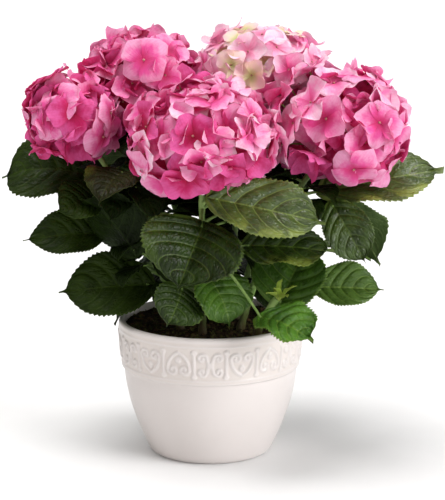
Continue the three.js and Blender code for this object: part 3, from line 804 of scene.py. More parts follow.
# How leaves grow by rule: tries at each node, how far they swing round it in degrees, the least and the
# spread of stalk and blade length, the room kept round them, how far forward and how wide they may reach.
LARGE_LEAVES = dict(draws=24, swing=70, stalk=(20, 16), length=(72, 34), clearance=8, front=-40,
                    widest=999, tones=("green", "dark", "green", "fresh"))
# The inner leaves all take the shaded tone: painted shade deep in the plant.
INNER_LEAVES = dict(draws=80, swing=170, stalk=(8, 26), length=(40, 34), clearance=4.5, front=-66,
                    widest=118, tones=("shaded",) * 4)
INNER_NODES_APART = 8
all_leaves = [dict(zip(LEAF_KEYS, row)) for row in SET_LEAVES]
order = {name: k for k, name in enumerate(SHOOTS)}
all_leaves.sort(key=lambda leaf: order[leaf["shoot"]])
taken = np.concatenate([leaf_samples(SHOOTS[leaf["shoot"]], leaf) for leaf in all_leaves])
for name, shoot in SHOOTS.items():
    grown, taken = grown_leaves(name, taken, shoot["pairs"], shoot["seed"], LARGE_LEAVES)
    all_leaves += grown
for name, shoot in SHOOTS.items():
    if shoot["head"] is None:
        continue
    nodes = np.arange(shoot["leafy"] + 6, shoot["stalk"] - 4, INNER_NODES_APART)
    grown, taken = grown_leaves(name, taken, nodes, shoot["seed"] + 1000, INNER_LEAVES)
    all_leaves += grown


def vein_phase(t, s):
    """Counts side veins along the leaf: whole numbers lie on a vein."""
    reach = np.abs(s)
    start = t - (0.12 + 0.48 * t - 0.2 * t * t) * (0.5 * reach + 0.5 * reach ** 2)
    return VEIN_PAIRS * np.clip(start, 0, 1) ** 0.85


def blade_outline(leaf, t):
    """Half the blade's width: round at the stalk, broad shoulders, then a short narrow drawn-out tip."""
    u = np.clip(t / 0.93, 0, 1) ** leaf["fullness"]
    stalk_end = np.sin(math.pi * np.clip(u, 0, 0.5)) ** 0.5
    tip_end = (1 - (np.clip(u - 0.5, 0, 0.5) / 0.5) ** leaf["finish"].get("blunt", 2.4)) ** 0.8
    drawn_out = np.where(t > 0.84, 0.10 * np.clip((1 - t) / 0.16, 0, 1) ** 1.3, 0)
    return leaf["width"] / 2 * np.maximum(np.where(u < 0.5, stalk_end, tip_end), drawn_out)


TOOTH_DEPTH = 0.055  # as a share of half the width
RIPPLE, SWAY = 0.024, 0.02  # of the edge and of the whole blade, as shares of its length


def blade_grid(leaf, number, rows, columns):
    """The toothed, quilted and waved upper face as a grid of points, with its flat place and its s and t."""
    random = np.random.RandomState(100 + number)
    base, chord, length, across, out = leaf_frame(leaf)
    look = leaf["finish"]
    turn, fold = math.radians(look.get("turn", 0)), math.radians(look.get("fold", 12))
    swung = across * math.cos(turn) + out * math.sin(turn)
    across, out = swung, out * math.cos(turn) - across * math.sin(turn)
    heading = chord / length
    t = np.linspace(0, 1, rows + 1)[:, None] * np.ones((1, columns + 1))
    s = np.ones((rows + 1, 1)) * np.linspace(-1, 1, columns + 1)[None, :]
    reach = np.abs(s)
    half = blade_outline(leaf, t)
    tooth = (np.arange(rows + 1)[:, None] % 3) / 3.0  # 0 in a notch, rising to the tooth's point
    toothed = smoothstep(0.8, 1.0, reach) * smoothstep(0.02, 0.12, t) * (1 - smoothstep(0.93, 1, t))
    teeth = (tooth - 0.25) * toothed
    notch = TOOTH_DEPTH * look.get("teeth", 1.0) * (0.6 + 0.8 * random.rand(rows + 1, 1))
    spread = s * half * (1 + notch * teeth * 1.5)
    forward = length * 0.009 * teeth
    pillow = np.abs(np.sin(math.pi * vein_phase(t, s))) ** 0.65
    quilt = pillow * smoothstep(0.0, 0.22, reach) * (1 - 0.6 * reach ** 3)
    size = leaf["width"] / 80.0
    relief = 1.9 * size * look.get("quilt", 1.0) * quilt - 0.6 * size * np.exp(-(reach / 0.07) ** 2)
    lift = leaf["arch"] * length * 4 * t * (1 - t) + reach * half * math.sin(fold)
    phase = 6.3 * random.rand(3)
    ripple = RIPPLE * look.get("ripple", 1.0) * length * reach ** 2
    wave = ripple * np.sin(2 * math.pi * (2.1 * t + 0.12 * s) + np.where(s > 0, phase[0], phase[1]))
    sway = SWAY * length * np.sin(2 * math.pi * t + phase[2]) * s
    curl = -look.get("curl", 0.0) * length * smoothstep(0.6, 1.0, t) ** 2
    place = base + heading * (t * length + forward)[..., None] + across * (spread * math.cos(fold))[..., None]
    away = lift + (wave + sway) * smoothstep(0, 0.15, t) + curl + relief * smoothstep(0, 0.08, t)
    place = place + out * away[..., None]
    flat = np.stack([spread, t * length, np.full_like(t, 37.0 * number)], 2)
    return place, flat, t, s, out


def vein_group():
    """Where a leaf's veins run: midrib, curved side veins, the rungs between them and a fine net."""
    inputs = [("Across", "Float", 0.5), ("Along", "Float", 0.5), ("Flat place", "Vector", None)]
    group, start, end = new_group("Leaf veins", inputs, ["Vein", "Net", "Swell", "Edge"])
    across, along, flat = start.outputs[0], start.outputs[1], start.outputs[2]
    wobble = put(group, "ShaderNodeTexNoise", {0: flat, 2: 0.11, 3: 2.0}).outputs[0]
    swerve = maths(group, "SUBTRACT", wobble, 0.5)
    aside = maths(group, "SUBTRACT", maths(group, "MULTIPLY", across, 2.0), 1.0)
    reach = maths(group, "ABSOLUTE", aside)
    bent = maths(group, "MULTIPLY", reach, reach)
    bow = maths(group, "MULTIPLY", maths(group, "ADD", reach, bent), 0.5)
    steeper = maths(group, "SUBTRACT", 0.48, maths(group, "MULTIPLY", along, 0.2))
    rising = maths(group, "MULTIPLY", along, steeper)
    shift = maths(group, "MULTIPLY", bow, maths(group, "ADD", rising, 0.12))
    begun = maths(group, "MAXIMUM", maths(group, "SUBTRACT", along, shift), 0.0)
    phase = maths(group, "MULTIPLY", maths(group, "POWER", begun, 0.85), VEIN_PAIRS)
    jittered = maths(group, "ADD", phase, maths(group, "MULTIPLY", swerve, 0.14))
    half_on = maths(group, "ADD", jittered, 0.5)
    gap = maths(group, "ABSOLUTE", maths(group, "SUBTRACT", maths(group, "FRACT", half_on), 0.5))
    fading = ramp(group, reach, 0.7, 1.0, 1.0, 0.4)
    side_vein = maths(group, "MULTIPLY", ramp(group, gap, 0.01, 0.05, 1.0, 0.0), fading)
    from_rib = maths(group, "ABSOLUTE", put(group, "ShaderNodeSeparateXYZ", {0: flat}).outputs[0])
    rib = ramp(group, from_rib, 0.4, 1.1, 1.0, 0.0)
    rung_count = maths(group, "MULTIPLY", from_rib, 0.19)
    step = maths(group, "MULTIPLY", maths(group, "FLOOR", half_on), 0.37)
    bend = maths(group, "ADD", maths(group, "MULTIPLY", swerve, 2.2), step)
    rung_phase = maths(group, "FRACT", maths(group, "ADD", rung_count, bend))
    rung_gap = maths(group, "ABSOLUTE", maths(group, "SUBTRACT", rung_phase, 0.5))
    net = put(group, "ShaderNodeTexVoronoi", {"Vector": flat, "Scale": 0.34}, feature="DISTANCE_TO_EDGE")
    cells = net.outputs[0]
    rungs = ramp(group, rung_gap, 0.01, 0.09, 1.0, 0.0)
    fine = maths(group, "MULTIPLY", ramp(group, cells, 0.0, 0.12, 1.0, 0.0), 0.35)
    vein = maths(group, "MAXIMUM", side_vein, rib)
    pillow = maths(group, "MULTIPLY", ramp(group, gap, 0.0, 0.3), ramp(group, rung_gap, 0.0, 0.3, 0.45, 1.0))
    pebbled = maths(group, "MULTIPLY", ramp(group, cells, 0.0, 0.35), 0.16)
    hills = maths(group, "ADD", pillow, pebbled)
    group.links.new(vein, end.inputs[0])
    group.links.new(maths(group, "MAXIMUM", rungs, fine), end.inputs[1])
    group.links.new(hills, end.inputs[2])
    group.links.new(ramp(group, reach, 0.93, 1.0), end.inputs[3])
    return group


veins = vein_group()


def see_through(tree, shader, colour, share):
    """Lets some light through a thin leaf or petal."""
    through = put(tree, "ShaderNodeBsdfTranslucent", {"Color": colour})
    both = put(tree, "ShaderNodeMixShader", {0: share, 1: shader.outputs[0], 2: through.outputs[0]})
    end = next(node for node in tree.nodes if node.type == "OUTPUT_MATERIAL")
    tree.links.new(both.outputs[0], end.inputs["Surface"])


EDGE_LIGHT_GREEN = (0.27, 0.34, 0.05)  # yellow-green of painted light along a leaf's edge


def leaf_finish(name, deep, light, vein_colour, roughness, gloss, vein_share, bump, through):
    """Leaf skin: clouded green, paler veins, net and edge, and blotches of painted light along one edge."""
    material, tree, shader = new_finish(name, roughness, specular=gloss)
    where = put(tree, "ShaderNodeUVMap", uv_map="blade").outputs[0]
    parts = put(tree, "ShaderNodeSeparateXYZ", {0: where})
    flat = put(tree, "ShaderNodeAttribute", attribute_name="flat_place").outputs["Vector"]
    ribs = put(tree, "ShaderNodeGroup", {"Across": parts.outputs[0], "Along": parts.outputs[1],
                                         "Flat place": flat}, node_tree=veins)
    clouds = put(tree, "ShaderNodeGroup", {"Place": flat, "Scale": 0.045}, node_tree=mottle)
    colour = blend_colours(tree, clouds.outputs["Cloud"], deep, light)
    colour = blend_colours(tree, maths(tree, "MULTIPLY", ribs.outputs["Net"], 0.16), colour, vein_colour)
    for line, strength in (("Edge", 0.45), ("Vein", vein_share)):
        drawn = maths(tree, "MULTIPLY", ribs.outputs[line], strength)
        colour = blend_colours(tree, drawn, colour, vein_colour)
    # The pale attribute holds how much painted light lies along the blade's edge, blotched by the clouds.
    sunned = put(tree, "ShaderNodeAttribute", attribute_name="pale").outputs["Fac"]
    painted_edge_glint = maths(tree, "MULTIPLY", sunned, ramp(tree, clouds.outputs["Cloud"], 0.2, 0.7, 0.15, 1.0))
    colour = blend_colours(tree, painted_edge_glint, colour, EDGE_LIGHT_GREEN)
    tree.links.new(colour, shader.inputs["Base Color"])
    polish = ramp(tree, clouds.outputs["Grain"], 0.0, 1.0, roughness - 0.04, roughness + 0.08)
    tree.links.new(polish, shader.inputs["Roughness"])
    bump_skin(tree, shader, bump, 0.001, ribs.outputs["Swell"])
    see_through(tree, shader, light, through)
    return material


# Each tone's deep and light green and its veins' colour, then roughness, gloss, how far the veins show, how
# strongly the quilting catches the light, and how much light comes through.
# The shaded tone is painted shade for leaves in the shade of the heads and deep in the plant; the lit and
# sunlit tones are painted light; the glossy tone's lighter greens are partly the leaf's colour and partly
# painted sheen.
TONES = {
    "dusky": ((0.010, 0.011, 0.002), (0.019, 0.021, 0.004), (0.08, 0.10, 0.02), 0.44, 0.15, 0.3, 0.8, 0.03),
    "shaded": ((0.004, 0.009, 0.001), (0.009, 0.019, 0.002), (0.03, 0.055, 0.008),
               0.46, 0.08, 0.3, 0.8, 0.02),
    "dark": ((0.0095, 0.0195, 0.0016), (0.020, 0.038, 0.0035), (0.06, 0.10, 0.014),
             0.42, 0.10, 0.26, 0.9, 0.03),
    "green": ((0.0075, 0.0175, 0.0013), (0.020, 0.044, 0.0035), (0.12, 0.19, 0.030),
              0.36, 0.24, 0.4, 1.0, 0.05),
    "lit": ((0.016, 0.034, 0.0035), (0.044, 0.082, 0.010), (0.13, 0.20, 0.036), 0.34, 0.4, 0.36, 1.0, 0.06),
    "glossy": ((0.034, 0.062, 0.007), (0.078, 0.128, 0.018), (0.28, 0.38, 0.08), 0.36, 0.75, 0.5, 1.0, 0.07),
    "fresh": ((0.028, 0.076, 0.006), (0.056, 0.136, 0.012), (0.18, 0.29, 0.05), 0.40, 0.28, 0.45, 0.85, 0.10),
    "sunlit": ((0.060, 0.128, 0.016), (0.110, 0.21, 0.032), (0.28, 0.41, 0.08), 0.40, 0.5, 0.45, 0.85, 0.12),
    "bright": ((0.040, 0.125, 0.009), (0.090, 0.23, 0.020), (0.28, 0.44, 0.06), 0.40, 0.3, 0.42, 1.0, 0.15),
    "budding": ((0.20, 0.30, 0.03), (0.30, 0.42, 0.05), (0.4, 0.5, 0.10), 0.45, 0.3, 0.4, 0.3, 0.2),
    "underside": ((0.05, 0.09, 0.02), (0.08, 0.135, 0.035), (0.18, 0.25, 0.08), 0.7, 0.2, 0.7, 0.8, 0.10),
}
LEAF_TONES = {tone: leaf_finish("leaf_" + tone, *row) for tone, row in TONES.items()}


def leaf_mass(name, leaves, first_number):
    """All blades of one shoot as one piece: an upper and an under face for each, joined round the edge."""
    points, faces, slots, uvs, flats, painted_edge_values = [], [], [], [], [], []
    tones = list(LEAF_TONES)
    start = 0
    for number, leaf in enumerate(leaves):
        small = np.linalg.norm(np.subtract(leaf["tip"], leaf["base"])) < SMALL_LEAF
        rows, columns = (LEAF_ROWS // 2, LEAF_COLUMNS // 2) if small else (LEAF_ROWS, LEAF_COLUMNS)
        place, flat, t, s, out = blade_grid(leaf, first_number + number, rows, columns)
        rows, columns = rows + 1, columns + 1
        count = rows * columns
        points += [place.reshape(-1, 3), (place - out * LEAF_THICKNESS).reshape(-1, 3)]
        flats += [flat.reshape(-1, 3)] * 2
        uvs += [np.stack([(s + 1) / 2, t], 2).reshape(-1, 2)] * 2
        # Painted light along one edge of the blade, as much as the leaf's setting gives.
        edge_light_mask = smoothstep(0.45, 0.9, -s) * smoothstep(0.2, 0.4, t) * (1 - smoothstep(0.75, 0.95, t))
        painted_edge_values += [edge_light_mask.ravel() * leaf["finish"].get("sunned", 0.0)] * 2
        corner = start + (np.arange(rows - 1)[:, None] * columns + np.arange(columns - 1)[None, :]).ravel()
        upper = np.stack([corner, corner + columns, corner + columns + 1, corner + 1], 1)
        faces += upper.tolist() + (upper[:, ::-1] + count).tolist()
        rim = [k * columns for k in range(rows)] + [(rows - 1) * columns + i for i in range(1, columns)]
        rim += [k * columns + columns - 1 for k in range(rows - 2, -1, -1)] + list(range(columns - 2, 0, -1))
        around = zip(rim, rim[1:] + rim[:1])
        faces += [(start + b, start + a, start + a + count, start + b + count) for a, b in around]
        below = leaf["tone"] if leaf["tone"] in ("budding", "shaded") else "underside"
        slots += [tones.index(leaf["tone"])] * len(upper) + [tones.index(below)] * len(upper)
        slots += [tones.index(leaf["tone"])] * len(rim)
        start += 2 * count
    piece = mesh_piece(name, np.concatenate(points), faces, list(LEAF_TONES.values()), slots)
    mesh = piece.data
    corner = np.empty(len(mesh.loops), np.int32)
    mesh.loops.foreach_get("vertex_index", corner)
    mesh.uv_layers.new(name="blade").data.foreach_set("uv", np.concatenate(uvs)[corner].ravel())
    store(mesh, "flat_place", "FLOAT_VECTOR", np.concatenate(flats))
    store(mesh, "pale", "FLOAT", np.concatenate(painted_edge_values))
    return piece


leaves_so_far = 0
for name, shoot in SHOOTS.items():
    leaves = [leaf for leaf in all_leaves if leaf["shoot"] == name]
    blades = leaf_mass(name + "_leaves", leaves, leaves_so_far)
    leaves_so_far += len(leaves)
    steps = max(4, int((shoot["stalk"] - shoot["leafy"]) / 4))
    heights = np.linspace(shoot["leafy"] - 0.5, shoot["stalk"], steps)
    paths = [cane_path(shoot, heights, sorted({leaf["node"] for leaf in leaves}))]
    for leaf in leaves:
        path = stalk_path(shoot, leaf, 14)
        share = np.linspace(0, 1, 14)
        small = min(1.0, leaf["width"] / 40)
        paths.append((path, small * (1.95 - 0.75 * share + 0.9 * np.exp(-(share / 0.08) ** 2))))
    stems = stalk_piece(name + "_leaf_stalks", paths, 12, stalk_skin)
    for piece, slot in ((blades, "leaf"), (stems, "cane")):
        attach(piece, "root")
        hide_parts(name + "_foliage")

# ---- Flower heads ----
# Seven rounded heads of sterile florets, each four or five broad soft sepals round a tiny bead of a bud,
# on thin stalks that branch from the top of the cane. The top head is still young, cream and green.

FLORET_RADIUS = 24.5
FLORETS_TO_ONE = 2.4  # florets in a head for each one of the plain model
HEAD_LOWEST = math.cos(math.radians(143))  # florets reach this far round under the head
# How far sepal tips may reach, as a share of the head's radii.
HEAD_REACH = {"left": 1.0, "upper_left": 1.07, "front": 1.08, "right": 1.11, "top": 1.06,
              "back": 1.03, "back_right": 1.03}
INWARD_WIDER, REACH_UNEVEN = 0.2, 0.09  # shares of the radii again
SEPAL_POINTS = 7  # along a sepal, and as many across
FACING_SPREAD = 0.5  # how far florets look away from straight out
DEEPEST = 0.22  # how far the deepest floret sinks, as a share of its distance from the head's middle
FLORET_CLEARANCE = 9  # to the nearest leaf
OTHER_HEAD_ROOM = 0.9  # florets keep out of the other heads scaled so
# How much paler a floret is for each millimetre to the right and at the head's top, as painted light from the
# lamps at the right and overhead, and on the front head, and how much darker it is when sunk deepest, as
# painted shade.
PALER_TO_RIGHT, PALER_AT_TOP, PALER_FRONT, DARKER_SUNK = 0.0024, 0.22, 0.12, 1.2
# The young head has more florets, and smaller ones, and is cream round one spot off its middle.
YOUNG_MORE, YOUNG_SIZE, CREAM_SIZE = 1.35, 0.86, 0.84
CREAM_MIDDLE, CREAM_RADII = (-22, -50, 16), (30, 60, 26)
DEEP, MID, LIGHT, PALE, CREAM = range(5)  # the five shades of florets


def sepal_grid(length, width, cup, crease, droop, skew, wave, phase):
    """One sepal lying along +X from the floret's middle, as a grid of points in millimetres."""
    along = np.array([0.05, 0.22, 0.42, 0.61, 0.78, 0.91, 1.0])[:, None] * np.ones((1, SEPAL_POINTS))
    share = np.array([0.18, 0.55, 0.86, 1.0, 1.02, 0.95, 0.76])[:, None]  # of the full width
    s = np.ones((SEPAL_POINTS, 1)) * np.linspace(-1, 1, SEPAL_POINTS)[None, :]
    rounding = np.array([0.3, 0.3, 0.31, 0.31, 0.3, 0.29, 0.27])[:, None]
    frill = 0.03 * length * along ** 2 * np.sin(6 * s + phase)
    x = length * along * (1.02 - rounding * s ** 2 - 0.02 * np.abs(s)) + frill
    y = width / 2 * share * s * (1 + 0.06 * np.sin(7 * along + phase))
    rise = length * (0.34 * along * (1 - 0.6 * along) - droop * along ** 2)
    edge = cup * length * s ** 2 * along + skew * length * s * along + crease * length * np.abs(s) * along
    ripple = wave * length * along * (np.sin(2.6 * s + 3.4 * along + phase) + 0.6 * np.sin(5.2 * s - phase))
    return np.stack([x, y, rise + edge + ripple], 2), s, along


def floret_form(name, seed, sepals, cup, droop, size):
    """A floret about 49 mm across at full size: its sepals lap each other in a ring round the bead."""
    random = np.random.RandomState(seed)
    points, faces, uvs, bead = [], [], [], []
    for k in range(sepals):
        grid, s, along = sepal_grid(
            length=FLORET_RADIUS * size * (0.92 + 0.16 * random.rand()),
            width=FLORET_RADIUS * size * (1.06 + 0.2 * random.rand()) * (4 / sepals) ** 0.4,
            cup=cup * (0.5 + random.rand()), crease=0.12 * random.rand(),
            droop=droop * (0.4 + 1.2 * random.rand()), skew=0.03 + 0.07 * random.rand(),
            wave=0.04 + 0.07 * random.rand(), phase=6.3 * random.rand())
        turn = 2 * math.pi * k / sepals + 0.22 * (random.rand() - 0.5)
        tilt = 0.5 * (random.rand() - 0.5)
        lifted = grid[..., 2] + grid[..., 0] * math.sin(tilt) + (0.5 if k % 2 else 0.0)
        x = grid[..., 0] * math.cos(turn) - grid[..., 1] * math.sin(turn)
        y = grid[..., 0] * math.sin(turn) + grid[..., 1] * math.cos(turn)
        start = len(points)
        points += list(np.stack([x, y, lifted], 2).reshape(-1, 3))
        uvs += list(np.stack([(s + 1) / 2, along], 2).reshape(-1, 2))
        for i in range(SEPAL_POINTS - 1):
            for j in range(SEPAL_POINTS - 1):
                a = start + SEPAL_POINTS * i + j
                faces.append((a, a + SEPAL_POINTS, a + SEPAL_POINTS + 1, a + 1))
                bead.append(0)
    start = len(points)
    for z, r in ((0.2, 0.8), (1.2, 1.25), (2.2, 0.8)):
        for k in range(6):
            points.append(np.array([r * math.cos(k * math.pi / 3), r * math.sin(k * math.pi / 3), z]))
            uvs.append((0.5, 0.0))
    for ring in range(2):
        for k in range(6):
            a, b = start + 6 * ring + k, start + 6 * ring + (k + 1) % 6
            faces.append((a, b, b + 6, a + 6))
            bead.append(1)
    faces.append(tuple(start + 12 + k for k in range(6)))
    bead.append(1)
    form = mesh_piece(name, np.array(points), faces, [])
    corner = [i for face in faces for i in face]
    form.data.uv_layers.new(name="sepal").data.foreach_set("uv", np.array(uvs)[corner].ravel())
    store(form.data, "bead", "INT", bead, "FACE")
    return form


def petal_group():
    """How a sepal's colour runs: fine veins, a deeper throat, partly painted shade, and a pale edge flush,
    partly painted highlight.
    """
    inputs = [("Across", "Float", 0.5), ("Along", "Float", 0.5), ("Place", "Vector", None)]
    group, start, end = new_group("Sepal", inputs, ["Veins", "Throat", "Flush"])
    across, along, place = start.outputs[0], start.outputs[1], start.outputs[2]
    noise = put(group, "ShaderNodeTexNoise", {0: place, 2: 85.0, 3: 3.0, 4: 0.6}).outputs[0]
    fan = maths(group, "ADD", maths(group, "MULTIPLY", across, 34.0), maths(group, "MULTIPLY", noise, 6.0))
    lines = maths(group, "ABSOLUTE", maths(group, "SINE", fan))
    group.links.new(ramp(group, lines, 0.0, 0.6, 1.0, 0.0), end.inputs[0])
    # Throat: darker near the floret's middle, partly the sepal's own colour and partly painted shade.
    group.links.new(ramp(group, along, 0.05, 0.5, 1.0, 0.0), end.inputs[1])
    # Flush: paler clouded patches towards the sepal's edge, partly its own colour and partly painted
    # highlight.
    outer = maths(group, "ADD", maths(group, "MULTIPLY", along, 0.55), maths(group, "MULTIPLY", noise, 0.9))
    group.links.new(ramp(group, outer, 0.55, 1.05), end.inputs[2])
    return group


sepal_colour = petal_group()


def petal_finish(name, body, flush_and_highlight, throat_and_shade, glow, through):
    """Petal skin, soft and matt, from its throat, darker partly as painted shade, to its paler edge, partly
    painted highlight, with light coming through.
    """
    material, tree, shader = new_finish(name, 0.55, specular=0.18)
    shader.inputs["Sheen Weight"].default_value = 0.08
    shader.inputs["Sheen Roughness"].default_value = 0.5
    where = put(tree, "ShaderNodeUVMap", uv_map="sepal").outputs[0]
    parts = put(tree, "ShaderNodeSeparateXYZ", {0: where})
    place = put(tree, "ShaderNodeTexCoord").outputs["Object"]
    runs = put(tree, "ShaderNodeGroup", {"Across": parts.outputs[0], "Along": parts.outputs[1],
                                         "Place": place}, node_tree=sepal_colour)
    colour = blend_colours(tree, runs.outputs["Flush"], body, flush_and_highlight)
    colour = blend_colours(tree, maths(tree, "MULTIPLY", runs.outputs["Throat"], 0.75), colour, throat_and_shade)
    colour = blend_colours(tree, maths(tree, "MULTIPLY", runs.outputs["Veins"], 0.14), colour, glow)
    tree.links.new(colour, shader.inputs["Base Color"])
    bump_skin(tree, shader, 0.35, 0.0006, runs.outputs["Veins"])
    see_through(tree, shader, glow, through)
    return material


# Each finish: the sepal's body, the flush at its edge, paler partly as painted highlight, its throat, deeper
# in the pinks partly as painted shade, the light through it and how much of it.
PETALS = {
    "Deep": petal_finish(
        "petal_deep_pink", (0.58, 0.014, 0.135), (0.84, 0.14, 0.43), (0.36, 0.004, 0.03),
        (0.66, 0.015, 0.10), 0.20),
    "Mid": petal_finish(
        "petal_mid_pink", (0.83, 0.09, 0.36), (0.96, 0.44, 0.69), (0.54, 0.014, 0.09),
        (0.80, 0.03, 0.20), 0.20),
    "Light": petal_finish(
        "petal_light_pink", (0.95, 0.25, 0.56), (0.99, 0.74, 0.88), (0.73, 0.06, 0.23),
        (0.91, 0.10, 0.36), 0.20),
    "Pale": petal_finish(
        "petal_pale_pink", (1.0, 0.46, 0.70), (1.0, 0.84, 0.92), (0.84, 0.17, 0.34),
        (1.0, 0.32, 0.55), 0.22),
    "Cream": petal_finish(
        "petal_cream", (0.90, 0.80, 0.55), (0.97, 0.66, 0.74), (0.52, 0.62, 0.14),
        (0.90, 0.68, 0.50), 0.22),
    "Bead": petal_finish(
        "bud_bead", (0.60, 0.16, 0.22), (0.70, 0.30, 0.34), (0.62, 0.34, 0.26), (0.6, 0.1, 0.2), 0.1),
}


def florets_tree():
    """Geometry nodes that set a floret form on each point, facing and turned as the point says."""
    tree, given = new_tree(
        "Florets", "Florets", Places="Geometry", Forms="Collection", **{tone: "Material" for tone in PETALS})

    def noted(name, kind):
        return put(tree, "GeometryNodeInputNamedAttribute", {"Name": name}, data_type=kind).outputs[0]

    forms = put(tree, "GeometryNodeCollectionInfo",
                {"Collection": given["Forms"], "Separate Children": True, "Reset Children": True})
    facing = noted("facing", "FLOAT_VECTOR")
    faced = put(tree, "FunctionNodeAlignRotationToVector", {"Vector": facing}, axis="Z")
    spin = put(tree, "FunctionNodeAxisAngleToRotation", {"Axis": (0, 0, 1), "Angle": noted("spin", "FLOAT")})
    turned = put(tree, "FunctionNodeRotateRotation", {0: faced.outputs[0], 1: spin.outputs[0]},
                 rotation_space="LOCAL")
    laid = put(tree, "GeometryNodeInstanceOnPoints",
               {"Points": given["Places"], "Instance": forms.outputs[0], "Pick Instance": True,
                "Instance Index": noted("form", "INT"), "Rotation": turned.outputs[0],
                "Scale": noted("size", "FLOAT")})
    shown = put(tree, "GeometryNodeRealizeInstances", {0: laid.outputs[0]})
    for noted_as, value, name in (("shade", DEEP, "Deep"), ("shade", MID, "Mid"), ("shade", LIGHT, "Light"),
                                  ("shade", PALE, "Pale"), ("shade", CREAM, "Cream"), ("bead", 1, "Bead")):
        chosen = put(tree, "FunctionNodeCompare", {2: noted(noted_as, "INT"), 3: value},
                     data_type="INT", operation="EQUAL")
        shown = put(tree, "GeometryNodeSetMaterial",
                    {0: shown.outputs[0], 1: chosen.outputs[0], 2: given[name]})
    tree.links.new(shown.outputs[0], tree.nodes.new("NodeGroupOutput").inputs[0])
    return tree


# Each form: its seed, number of sepals, how cupped they are, how far they droop, and its size.
FORMS = [("a_flat", 1, 4, 0.08, 0.12, 1.0), ("b_cupped", 2, 4, 0.24, -0.06, 0.98),
         ("c_bent_back", 3, 4, -0.04, 0.3, 1.02), ("d_waved", 4, 4, 0.14, 0.14, 1.04),
         ("e_five", 5, 5, 0.14, 0.08, 0.98), ("f_open", 6, 4, 0.02, 0.1, 1.0),
         ("g_deep_cup", 7, 4, 0.34, -0.3, 0.94), ("h_uneven", 8, 4, 0.18, 0.22, 0.96)]
form_shelf = shelf_of("floret_forms", [floret_form("floret_" + name, *rest) for name, *rest in FORMS])
florets = florets_tree()


def facing_turn(facing):
    """The turn that brings a floret's upward face round to look along a direction."""
    x, y, z = facing
    share = 1 / max(1 + z, 0.02)
    return np.array([[1 - x * x * share, -x * y * share, x],
                     [-x * y * share, 1 - y * y * share, y],
                     [-x, -y, z]])


form_points = []
for form in sorted(form_shelf.objects, key=lambda form: form.name):
    corners = np.empty(3 * len(form.data.vertices))
    form.data.vertices.foreach_get("co", corners)
    form_points.append(corners.reshape(-1, 3) * 1000)


def head_places(own):
    """Where each floret of a head sits, by the golden angle over a dome, and how it faces."""
    shoot = SHOOTS[own]
    random = np.random.RandomState(shoot["seed"] + 500)
    wide, high = shoot["head"]
    centre = np.array(shoot["top"], float)
    young_head = own == "top"
    count = int(round(shoot["florets"] * FLORETS_TO_ONE * (YOUNG_MORE if young_head else 1.0)))
    others = [other for name, other in SHOOTS.items() if name != own]
    places = []
    radii = np.array([wide, wide, high])
    for i in range(count):
        up = 1 - (i + 0.5) / count * (1 - HEAD_LOWEST)
        ring = math.sqrt(1 - up * up)
        turn = i * GOLDEN_ANGLE + shoot["seed"]
        offset = np.array([wide * ring * math.cos(turn), wide * ring * math.sin(turn), high * up])
        facing = offset / [wide ** 2, wide ** 2, high ** 2]
        facing = facing / np.linalg.norm(facing) + (random.rand(3) - 0.5) * FACING_SPREAD
        facing = facing / np.linalg.norm(facing)
        spin, form = 6.283 * random.rand(), random.randint(len(FORMS))
        size, draw = 0.88 + 0.17 * random.rand(), random.rand()
        size *= YOUNG_SIZE if young_head else 1.0
        depth = random.rand() ** 2
        tips = form_points[form] @ facing_turn(facing).T * size
        inward = max(0.0, -(offset[:2] @ centre[:2]) / np.linalg.norm(centre[:2]) / wide)
        # Pulled in until the sepal tips lie within the head's uneven reach, wider towards the plant's middle.
        limit = HEAD_REACH[own] + INWARD_WIDER * inward + REACH_UNEVEN * (random.rand() - 0.65)
        reach = 1.2
        while reach > 0.5 and np.linalg.norm((offset * reach + tips) / radii, axis=1).max() > limit:
            reach -= 0.02
        place = centre + offset * (reach - DEEPEST * depth)
        crowded = any(inside_head(place[None], other, OTHER_HEAD_ROOM)[0] for other in others)
        if crowded or np.linalg.norm(taken - place, axis=1).min() < FLORET_CLEARANCE:
            continue
        # Painted light and shade: paler to the right and at the head's top, deeper when sunk into the head.
        lit = PALER_TO_RIGHT * place[0] + PALER_AT_TOP * offset[2] / high - DARKER_SUNK * depth
        lit += PALER_FRONT if own == "front" else 0.0
        shade = int(np.clip(draw * 2.0 + lit * 1.3 + 0.62, 0, 2))  # deep, mid or light pink, partly at random and partly painted light and shade
        # The young head's florets are pale or light pink at random, partly its young colour, partly painted
        # light on the plant's top.
        if young_head:
            shade = PALE if draw > 0.25 else LIGHT
            young = np.linalg.norm((offset - CREAM_MIDDLE) / CREAM_RADII) < 1.05 or up > 0.9
            if young and draw < 0.8:
                shade, size = CREAM, size * CREAM_SIZE
        places.append((place, facing, spin, form, size, shade))
    return places


